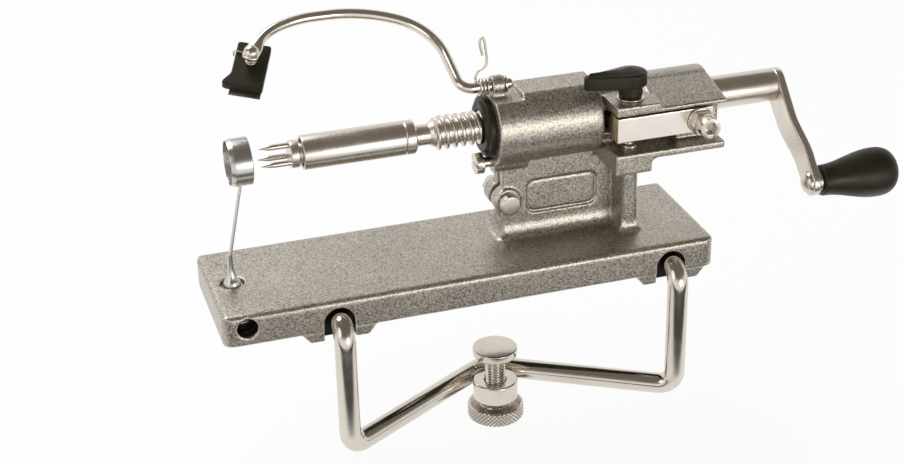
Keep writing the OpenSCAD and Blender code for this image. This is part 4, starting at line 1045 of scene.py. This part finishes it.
class PEELER_OT_release(bpy.types.Operator):
    """Moulds the release lever and eases its stem and washer"""

    bl_idname = "peeler.release"
    bl_label = "Release lever"

    def execute(self, context):
        hub, tip, reach, crown = sizes("release", "hub", "tip", "reach", "crown")
        low, high = axle("release_lever", "z")[:2]
        centre = axle("lever_washer", "z")[3]
        z0, rim, inset, fall = high - 8, high - crown, 1.5, 1.2
        outline, feet = teardrop(reach - tip / 2, hub / 2, tip / 2, 32)
        edge = [(i, 0, z) for i, z in rounded_edge(z0, rim, 0.7)][:5]
        a = np.linspace(0, np.pi / 2, 7)
        shoulder = [(inset * (1 - np.cos(t)), 0, rim - fall + fall * np.sin(t)) for t in a]
        shares = np.linspace(0, 1, 9)[1:]
        crowned = [(inset, k, rim + crown * (1 - (1 - k) ** 2)) for k in shares]
        rows = [(0, 1, z0), (0, 0.5, z0)] + edge + shoulder + crowned
        points = slab(outline, feet, rows) + centre
        bore, r, top = 2.6, 5.6, z0 + 0.5
        collar = [(low, bore), (low, 5.4), (low + 1.5, r), (top, r), (top, bore)]
        collar = turned(collar, "z", centre, loop=True, ease=0.5)
        build("release_lever", [surface(points, caps=False), collar], 45)
        softened("lever_stem", 0.3)
        softened("lever_washer", 0.25)
        return {"FINISHED"}


class PEELER_OT_bar(bpy.types.Operator):
    """Eases the engaging bar, draws its face, and adds the adjusting screw with its nut and
    washer"""

    bl_idname = "peeler.bar"
    bl_label = "Engaging bar"

    def execute(self, context):
        softened("nut_bar", 0.35, 0.25)
        y0, y1, half, centre = axle("adjust_nut", "y")
        self.face(centre)
        build("adjust_nut", [hex_nut(2 * half, y0, y1, 4.02, "y", centre)], 25)
        softened("adjust_screw", 0.5)
        softened("adjust_washer", 0.25)
        return {"FINISHED"}

    def face(self, centre, hole=4.6, edge=0.45):
        """The bar's bright face: a ray at the angle a from the screw's hole meets the rectangle's
        edge at the smaller of (side / cos a) and (side / sin a), and rows run from the hole over
        the rounded edge to the back."""
        low, high = span("bar_plate")
        x, z = centre[0], centre[2]
        left, right, under, over = low[0] - x, high[0] - x, low[2] - z, high[2] - z
        corners = np.arctan2([under, under, over, over], [left, right, right, left])
        near = np.r_[corners, corners + 0.02, corners - 0.02]
        a = np.unique(np.r_[np.linspace(-np.pi, np.pi, 180, endpoint=False), near])
        c, s = np.cos(a), np.sin(a)
        wide = np.where(c > 0, right, -left) / np.maximum(np.abs(c), 1e-9)
        tall = np.where(s > 0, over, -under) / np.maximum(np.abs(s), 1e-9)
        ray, reach = np.stack([c, s], -1), np.minimum(wide, tall)
        ring, outline = (x, z) + hole * ray, (x, z) + reach[:, None] * ray
        middle, half = ((low + high) / 2)[[0, 2]], ((high - low) / 2)[[0, 2]]
        rows = rounded_edge(low[1], high[1], edge)
        flat = [middle + (outline - middle) * (half - inset) / half for inset, _ in rows]
        loops = np.stack([ring, *flat, ring])
        depth = np.r_[low[1], rows[:, 1], high[1]][:, None]
        points = np.stack(np.broadcast_arrays(loops[..., 0], depth, loops[..., 1]), -1)
        build("bar_plate", [surface(points, loop=True)], 30)


# Peel arm


# The arm's line from its tail: straight length, radius of the bend after it, and the bend's angle
ARM_BENDS = ((19.5, 6, 86), (16, 32.4, -57.6), (0, 66, -28.4), (6, 50, -20), (0, 30, -36))
EYE_REACH = 4.5  # from the line's end to the eye
TIP_REACH = 3.7  # from the eye to the tip


def arm_line():
    """Line of the arm in its plane: straight lengths and bends in turn, and the direction at its
    end. After a straight length, a bend of radius r from heading h to a adds r(sin h - sin a),
    r(cos h - cos a), signed by its turn."""
    x, z, h = sizes("arm", "end"), 0.0, 0.0
    points = [np.array([[x, z]])]
    for run, r, turn in ARM_BENDS:
        x, z = x - run * np.cos(h), z + run * np.sin(h)
        k = np.sign(turn)
        a = h + np.radians(turn) * np.linspace(0, 1, 30)
        ahead, aside = np.sin(a) - np.sin(h), np.cos(h) - np.cos(a)
        bend = np.stack([x - r * k * ahead, z + r * k * aside], -1)
        points.append(bend)
        (x, z), h = bend[-1], a[-1]
    return np.vstack(points), np.array((-np.cos(h), np.sin(h)))


def arm_frame():
    """Matrix of the arm's plane: X along the spindle, Z away from the tail."""
    lean = Matrix.Rotation(-setting("arm").lean, 4, "X")
    return Matrix.Translation((0, 0, sizes("arm", "tail"))) @ lean


def eye_point():
    """Place of the eye in the arm's plane."""
    line, ahead = arm_line()
    return line[-1] + EYE_REACH * ahead


def head_frame():
    """Matrix of the knife head at its pivot."""
    x, z = eye_point()
    tilt = Matrix.Rotation(setting("arm").tilt, 4, "Y")
    return arm_frame() @ Matrix.Translation((x, 0, z)) @ tilt


class PEELER_OT_arm(bpy.types.Operator):
    """Bends the peel arm from rod, flattens its eye, and adds the pivot's rivet and the snap
    ring"""

    bl_idname = "peeler.arm"
    bl_label = "Peel arm"

    def execute(self, context):
        rod = sizes("arm", "rod")
        line, ahead = arm_line()
        eye = eye_point()
        flat = np.vstack([line, [eye + TIP_REACH * ahead]])
        path = np.stack([flat[:, 0], np.zeros(len(flat)), flat[:, 1]], -1)
        total = np.linalg.norm(np.diff(path, axis=0), axis=1).sum()

        def press(share):
            """Rod pressed flat towards its eye: thinner across the plane, wider in it."""
            k = smooth_step(share * total, total - 15, 8)
            return np.stack([1 - 0.34 * k, 1 + 0.48 * k], -1)

        arm = tube(path, rod / 2, rod / 2 - 0.35, 0.9, sides=28, press=press)
        build("peel_arm_rod", [moved(arm, arm_frame())], 60, "arm_nickel")
        softened("arm_snap_ring", 0.25)
        place = arm_frame() @ Matrix.Translation((eye[0], 0, eye[1]))
        shank, end = 1.5, 9.2
        tail = [(-1.5, shank), (end, shank), (end, 3), (end + 1.9, 2.6), (end + 2.1, 0)]
        rivet = np.vstack([domed(-1.6, 3.2, 3.6, 9), tail])
        build("head_pivot_screw", [moved(turned(rivet, "y", (0, 0, 0), 48), place)], 50)
        return {"FINISHED"}


class PEELER_OT_springs(bpy.types.Operator):
    """Winds the arm's spring with its hook and the small spring at the knife head"""

    bl_idname = "peeler.springs"
    bl_label = "Springs"

    def execute(self, context):
        self.arm_spring()
        self.head_spring()
        return {"FINISHED"}

    def arm_spring(self, pitch=1.65, turns=3.0, high=22.5):
        """Three turns round the arm's tail, with a hook that stands up in front and a foot
        below."""
        rod, wire, tail = sizes("arm", "rod", "wire", "tail")
        r, x0 = rod / 2 + 0.35 + wire / 2, 17.95 - turns * pitch - wire / 2
        hook = [(3.4, -8.5), (2.2, -2.8), (2.6, -0.6), (3.5, 0), (4.3, -1), (5, -6), (5.5, -10.7)]
        hook += [(4.6, -14), (1.3, -16.2), (-0.1, -18.6), (0, -21)]
        leg = np.array([(x0 + x, r, tail + high + z) for x, z in hook])
        t = np.arange(0, turns + 0.0001, 1 / 16)
        coil = np.stack([x0 + pitch * t, r * np.cos(-TURN * t), tail + r * np.sin(-TURN * t)], -1)
        x1 = x0 + turns * pitch
        foot = np.array([(x1, r, tail - 1.2), (x1, r, tail - 3.4)])
        path = np.vstack([flowing(leg), coil, foot])
        build("arm_spring", [tube(path, wire / 2, wire * 0.3, 0.35, sides=14)], 60)

    def head_spring(self, pitch=1.25, turns=1.5, edge=-8.4, end=8.6):
        """One and a half turns round the head's pivot, with a straight leg and a hook over the
        holder's edge."""
        rod, fine = sizes("arm", "rod", "fine_wire")
        r, y0, x1 = 1.5 + 0.35 + fine / 2, rod / 2 + 0.45, edge - fine / 2
        t = np.arange(0, turns + 0.0001, 1 / 24)
        coil = np.stack([r * np.cos(-TURN * t), y0 + pitch * t, r * np.sin(-TURN * t)], -1)
        y1 = y0 + pitch * turns
        leg = np.array([(r, y0, 9), (r, y0, 5.5), (r, y0, 2.6)])
        hook = [(-r, y1, 2), (-4, y1, 4.4), (x1 + 0.8, y1, 5), (x1, y1 + 0.8, 5), (x1, end, 5)]
        path = np.vstack([leg, coil, flowing(np.vstack([coil[-1:], hook]))[1:]])
        spring = tube(path, fine / 2, fine * 0.3, 0.25, sides=12)
        build("head_spring", [moved(spring, head_frame())], 60)


class PEELER_OT_head(bpy.types.Operator):
    """Moulds the knife holder and eases the peel blade and its screws"""

    bl_idname = "peeler.head"
    bl_label = "Knife head"

    def execute(self, context):
        w, up, down, y0, thick = 7.8, 11.9, -15.0, 5.4, 4.0
        flare = -w - 3.5
        outline = [(w, down), (w, up), (-w, up), (-w, down * 0.52)]
        outline += [(flare, down + 1.5), (flare + 1.5, down)]
        points = plate(eased(outline, 1.6, 7, loop=True), rounded_edge(y0, y0 + thick, 0.55))
        holder = surface(points[..., [0, 2, 1]])
        build("knife_holder", [moved(holder, head_frame())], 50)
        softened("peel_blade", 0.08)
        softened("blade_screws", 0.35)
        return {"FINISHED"}


class PEELER_OT_knife(bpy.types.Operator):
    """Draws the slicing knife from its flared stem to the coring ring, and eases its set screw"""

    bl_idname = "peeler.knife"
    bl_label = "Slicing knife"

    def execute(self, context):
        z0, lean, steps = span("slicing_knife")[0][2], np.radians(12), 24
        stem_r, neck, foot, stem_tall, half, bore, r = 4.0, 1.3, 20.5, 14.0, 5, 10.0, 11.0
        t = np.linspace(0, 1, 14)
        flare = np.stack([foot + stem_tall * t, neck + (stem_r - neck) * (1 - t) ** 4], -1)
        stem = np.vstack([[(z0, 0), (z0, stem_r)], flare, [(foot + stem_tall, 0)]])
        start = foot + stem_tall - 1.5
        tall = (SPINDLE_Z - r + 0.5 - start) / np.cos(lean)
        s = np.linspace(0, tall, steps)
        path = np.stack([KNIFE_X + s * np.sin(lean), 0 * s, start + s * np.cos(lean)], -1)
        a = np.linspace(0, TURN, 28, endpoint=False)
        c = np.cos(a)
        lens = np.stack([0.7 * np.sign(c) * np.abs(c) ** 0.6, 1.3 * np.sin(a)], -1)
        blade = carried(path, np.tile(lens, (steps, 1, 1)), (1, 0, 0))
        middle = KNIFE_X + (tall - 1) * np.sin(lean)
        x0, x1 = middle - half, middle + half
        ring = [(x0, bore + 0.05), (x0, bore + 0.25), (x0 + 2, r), (x1 - 0.4, r), (x1, r - 0.4)]
        ring += [(x1, bore), (x0 + 2, bore)]
        ring = turned(ring, "x", (0, 0, SPINDLE_Z), loop=True, ease=0.2)
        build("slicing_knife", [turned(stem, "z", (KNIFE_X, 0, 0), 48), blade, ring])
        softened("knife_set_screw", 0.4)
        return {"FINISHED"}


# Clamp


class PEELER_OT_bow(bpy.types.Operator):
    """Bends the clamp's bow from rod and welds the threaded boss to it"""

    bl_idname = "peeler.bow"
    bl_label = "Clamp bow"

    def execute(self, context):
        rod, boss = sizes("clamp", "rod", "boss")
        leg, top, bottom, slant, r, apex = -42.0, 9.5, -53.5, np.radians(31), 8.0, 14.0
        x0 = BOW_MIDDLE - BOW_HALF
        a = np.linspace(0, np.pi / 2, 24)
        out, down = r * (1 - np.sin(a)), r * (1 - np.cos(a))
        upper = np.stack([np.full(24, x0), leg + out, top - down], -1)
        lower = np.stack([x0 + down * np.cos(slant), leg + down * np.sin(slant), out + bottom], -1)
        reach = (BOW_HALF - apex * np.sin(slant)) / np.cos(slant)
        crest = leg + reach * np.sin(slant) + apex * (1 - np.cos(slant))
        b = slant * np.linspace(1, 0, 16)
        x, y = BOW_MIDDLE - apex * np.sin(b), crest - apex * (1 - np.cos(b))
        crown = np.stack([x, y, np.full(16, bottom)], -1)
        left = np.vstack([[(x0, -6.0, top)], upper, lower, crown])
        right = left[-2::-1] * [-1, 1, 1] + [2 * BOW_MIDDLE, 0, 0]
        bow = tube(np.vstack([left, right]), rod / 2, 0.8, 1.6, (1, 0, 0), 40)
        y = axle("clamp_screw", "z")[3][1]
        z0, z1, bore = bottom - 7.5, bottom + 2.5, 5.05
        ring = [(z0, bore), (z0, boss / 2), (z1, boss / 2), (z1, 6.0), (z1 - 1, bore)]
        ring = turned(ring, "z", (BOW_MIDDLE, y, 0), loop=True, ease=0.8)
        dx = np.linspace(-8, 8, 17)
        front = y + boss / 2 + 1.6 - 0.14 * np.abs(dx)
        bead = np.stack([BOW_MIDDLE + dx, front, 0 * dx + bottom + 3.6], -1)
        build("clamp_bow", [bow, ring, tube(bead, 1.5, 1.4, 0.8, (0, 0, 1), 16)], 50)
        return {"FINISHED"}


class PEELER_OT_screw(bpy.types.Operator):
    """Cuts the clamp screw's thread and turns its pad and its knob"""

    bl_idname = "peeler.screw"
    bl_label = "Clamp screw"

    def execute(self, context):
        z0, z1, _, centre = axle("clamp_screw", "z")
        pitch, shoulder, spigot_r = sizes("clamp", "pitch"), z1 - 3.3, 3.2
        form = [(0, 1.0), (0.07, 1.0), (0.28, 0.5), (0.48, 0.05), (0.52, 0.0)]
        form += [(0.58, 0.05), (0.79, 0.5)]
        thread = threaded("z", centre, z0, shoulder, pitch, 0, (4.08, 4.98), form, 0, 40, 0.8)
        foot = shoulder - 1
        spigot = [(foot, 0), (foot, spigot_r), (z1, spigot_r), (z1, 0)]
        build("clamp_screw", [thread, turned(spigot, "z", centre, 48, ease=0.4)], 60)
        self.knob(centre)
        z0, z1, r, _ = axle("clamp_pad", "z")
        floor, hole = z1 - 1.6, 3.25
        pad = [(floor, 0), (floor, hole), (z0, hole), (z0, r - 1.5), (z0 + 1.5, r)]
        pad += [(z1, r), (z1, 0)]
        build("clamp_pad", [turned(pad, "z", centre, ease=0.6)])
        return {"FINISHED"}

    def knob(self, centre):
        """Knurled knob: at an angle a and a height z its side lies in by knurl * (1 - c(a + z) *
        c(a - z)), where c runs between 0 and 1 once in each ridge. Rows are
        (radius, share of the knurl, height)."""
        count, knurl = setting("clamp").knurls, sizes("clamp", "knurl")
        z0, z1, r, _ = axle("clamp_knob", "z")
        rows = [(0, 0, z0), (9.0, 0, z0), (9.6, 0, z0 + 0.25), (r - 1.9, 0, z0 + 0.25)]
        rows += [(r - 1.2, 0, z0), (r - 0.55, 0.2, z0 + 0.5)]
        rows += [(r, 1, z) for z in np.linspace(z0 + 1.0, z1 - 1.0, 26)]
        rows += [(r - 0.55, 0.2, z1 - 0.5), (r - 1.2, 0, z1), (9.4, 0, z1), (8.9, 0, z1 - 0.5)]
        rows += [(8.2, 0, z1 - 0.5), (7.8, 0, z1), (5.02, 0, z1)]
        radius, cut, height = (np.array(c, float)[:, None] for c in zip(*rows))
        a = np.linspace(0, TURN, count * 6, endpoint=False)
        lean = count * (height - z0) / r
        ridges = (0.5 + 0.5 * np.cos(count * a + lean)) * (0.5 + 0.5 * np.cos(count * a - lean))
        points = around("z", centre, height, radius - knurl * (cut * (1 - ridges)), a)
        knob = build("clamp_knob", [surface(points)], 40, "knurled")
        self.mark_grooves(knob.data, centre, r, knurl, (z0 + 0.9, z1 - 0.9))

    def mark_grooves(self, mesh, centre, r, depth, heights):
        """Attribute groove: how far a point of the knob's side lies in, as a share of the knurl's
        depth. The plate is painted darker there as shade."""
        x, y, z = points_of(mesh).T / MM
        sunk = (r - np.hypot(x - centre[0], y - centre[1])) / depth
        side = (z > heights[0]) & (z < heights[1])
        mark(mesh, "groove", np.where(side, np.clip(sunk, 0, 1) ** 3, 0))


# Stage


# Each lamp's place, the point it looks at and its size in metres; its power is the setting of that
# name
LAMPS = {
    "key": ((-0.35, 0.55, 1.05), (0, 0, 0.03), 0.8),
    "front": ((0.42, -1.30, 0.04), (0.03, 0, 0.06), 0.7),
    "fill": ((-0.95, -0.45, 0.55), (0, 0, 0.03), 0.7),
}
CAMERA_AIM = (0.02742, 0.09612, -0.02267)


class PEELER_OT_stage(bpy.types.Operator):
    """Lays the floor, hangs the lamps and sets the camera"""

    bl_idname = "peeler.stage"
    bl_label = "Stage"

    def execute(self, context):
        s = setting("stage")
        scene = context.scene
        scene.view_settings.view_transform = "Standard"
        self.floor(scene, s)
        self.sky(scene, s)
        for name, (place, aim, size) in LAMPS.items():
            lamp = bpy.data.lights.new(name + "_lamp", "AREA")
            lamp.shape, lamp.size, lamp.energy = "DISK", size, getattr(s, name)
            holder = bpy.data.objects.new(name + "_lamp", lamp)
            scene.collection.objects.link(holder)
            holder.location = place
            ahead = Vector(aim) - Vector(place)
            holder.rotation_euler = ahead.to_track_quat("-Z", "Y").to_euler()
        self.camera(scene, s)
        return {"FINISHED"}

    def floor(self, scene, s, gap=0.0130, bend=0.6):
        """A wide sheet under the knob's lowest place that rises behind: height = bend *
        (1 - cos b). In reflections a strip of it in front is dim."""
        low = CAD_BOX[0][2] - gap
        b = np.linspace(0, np.pi / 2, 16)
        far, wide = 3.0, 4.0
        run = np.r_[-far, far - bend + bend * np.sin(b), far]
        rise = np.r_[low, low + bend * (1 - np.cos(b)), low + far]
        x = np.linspace(-wide, wide, 9)
        points = np.stack(np.broadcast_arrays(x[None], run[:, None], rise[:, None]), -1)
        mesh = bpy.data.meshes.new("floor")
        verts, faces = surface(points, wrap=False, caps=False)
        mesh.from_pydata(verts.tolist(), [], faces)
        mesh.shade_smooth()
        sheet_of_floor = bpy.data.objects.new("floor", mesh)
        scene.collection.objects.link(sheet_of_floor)
        material, sheet, place = start_finish("pale_floor")
        camera, glossy, through = seen_by(sheet)
        front = sheet.node("ShaderNodeSeparateXYZ", None, {0: place}, "Y") * -1.0
        dim = front.clamped(0.08, 0.13) * (1.0 - front.clamped(0.20, 0.30))
        share = camera * 0.9 + (glossy + through) * (0.85 - dim * 0.84)
        share = sheet.math("MINIMUM", share, 1.0)
        pale = blend(sheet, noise(sheet, place, 6.0) * 0.04, tuple(s.floor), shade(s.floor, 0.9))
        colour = blend(sheet, dim * glossy, pale, shade(s.floor, 0.08))
        matt = sheet.node("ShaderNodeBsdfDiffuse", None, {"Color": colour})
        white = sheet.node("ShaderNodeEmission", None, {"Color": (1, 1, 1, 1), "Strength": 1.0})
        mixed = sheet.node("ShaderNodeMixShader", None, {0: share, 1: matt, 2: white})
        sheet.node("ShaderNodeOutputMaterial", None, {"Surface": mixed})
        mesh.materials.append(material)

    def sky(self, scene, s):
        """Even light, white where it is seen, and dark overhead in reflections as in a room."""
        world = bpy.data.worlds.new("studio")
        scene.world = world
        world.use_nodes = True
        world.node_tree.nodes.clear()
        sheet = Wire(world.node_tree)
        camera, glossy, through = seen_by(sheet)
        seen = sheet.math("MINIMUM", camera + glossy + through, 1.0)
        place = sheet.node("ShaderNodeTexCoord", out="Generated")
        y, z = (sheet.node("ShaderNodeSeparateXYZ", None, {0: place}, axis) for axis in "YZ")
        above = (z - sheet.math("MAXIMUM", y, 0.0) * 0.8).clamped(0.08, 0.46)
        colour = blend(sheet, above * glossy, (1, 1, 1), tuple(s.overhead))
        strength = s.sky + seen * (1.0 - s.sky)
        lit = sheet.node("ShaderNodeBackground", None, {"Color": colour, "Strength": strength})
        sheet.node("ShaderNodeOutputWorld", None, {"Surface": lit})

    def camera(self, scene, s):
        """Camera on the fitted view: its back lies at the azimuth and elevation from its target."""
        a, e, r = s.azimuth, s.elevation, s.roll
        back = Vector((np.sin(a) * np.cos(e), -np.cos(a) * np.cos(e), np.sin(e)))
        right = (-back).cross(Vector((0, 0, 1))).normalized()
        up = right.cross(-back)
        right, up = right * np.cos(r) + up * np.sin(r), up * np.cos(r) - right * np.sin(r)
        data = bpy.data.cameras.new("camera")
        data.lens, data.sensor_width, data.sensor_fit = s.lens, 36.0, "HORIZONTAL"
        data.clip_start, data.clip_end = 0.01, 20.0
        holder = bpy.data.objects.new("camera", data)
        scene.collection.objects.link(holder)
        place = Matrix((right, up, back)).transposed().to_4x4()
        place.translation = Vector(CAMERA_AIM) + back * s.distance
        holder.matrix_world = place
        scene.camera = holder


class PEELER_OT_finishes(bpy.types.Operator):
    """Mixes the finishes and gives them to the solids"""

    bl_idname = "peeler.finishes"
    bl_label = "Finishes"

    def execute(self, context):
        make_finishes()
        return {"FINISHED"}


OPERATORS = (
    PEELER_OT_finishes,
    PEELER_OT_stage,
    PEELER_OT_casting,
    PEELER_OT_bushes,
    PEELER_OT_spindle,
    PEELER_OT_fork,
    PEELER_OT_sleeve,
    PEELER_OT_crank,
    PEELER_OT_grip,
    PEELER_OT_release,
    PEELER_OT_bar,
    PEELER_OT_arm,
    PEELER_OT_springs,
    PEELER_OT_head,
    PEELER_OT_knife,
    PEELER_OT_bow,
    PEELER_OT_screw,
)


class PEELER_PT_sidebar(bpy.types.Panel):
    """Lists the peeler's settings and operators"""

    bl_idname = "PEELER_PT_sidebar"
    bl_label = "Apple peeler"
    bl_space_type = "VIEW_3D"
    bl_region_type = "UI"
    bl_category = "Peeler"

    def draw(self, context):
        for name, group in GROUPS.items():
            box = self.layout.box()
            box.label(text=group.__doc__)
            for key in group.__annotations__:
                box.prop(getattr(context.scene, "peeler_" + name), key)
        for operator in OPERATORS:
            self.layout.operator(operator.bl_idname)


CLASSES = (*GROUPS.values(), *OPERATORS, PEELER_PT_sidebar)


def register():
    """Registers the classes and hangs each group of settings on the scene."""
    for c in CLASSES:
        bpy.utils.register_class(c)
    for name, group in GROUPS.items():
        setattr(bpy.types.Scene, "peeler_" + name, PointerProperty(type=group))


def unregister():
    """Takes the settings and the classes away again."""
    for name in GROUPS:
        delattr(bpy.types.Scene, "peeler_" + name)
    for c in reversed(CLASSES):
        bpy.utils.unregister_class(c)


def main():
    """Registers the classes and runs the operators in order."""
    register()
    for operator in OPERATORS:
        group, name = operator.bl_idname.split(".")
        getattr(getattr(bpy.ops, group), name)()
    bpy.context.view_layer.update()


if __name__ == "__main__":
    main()
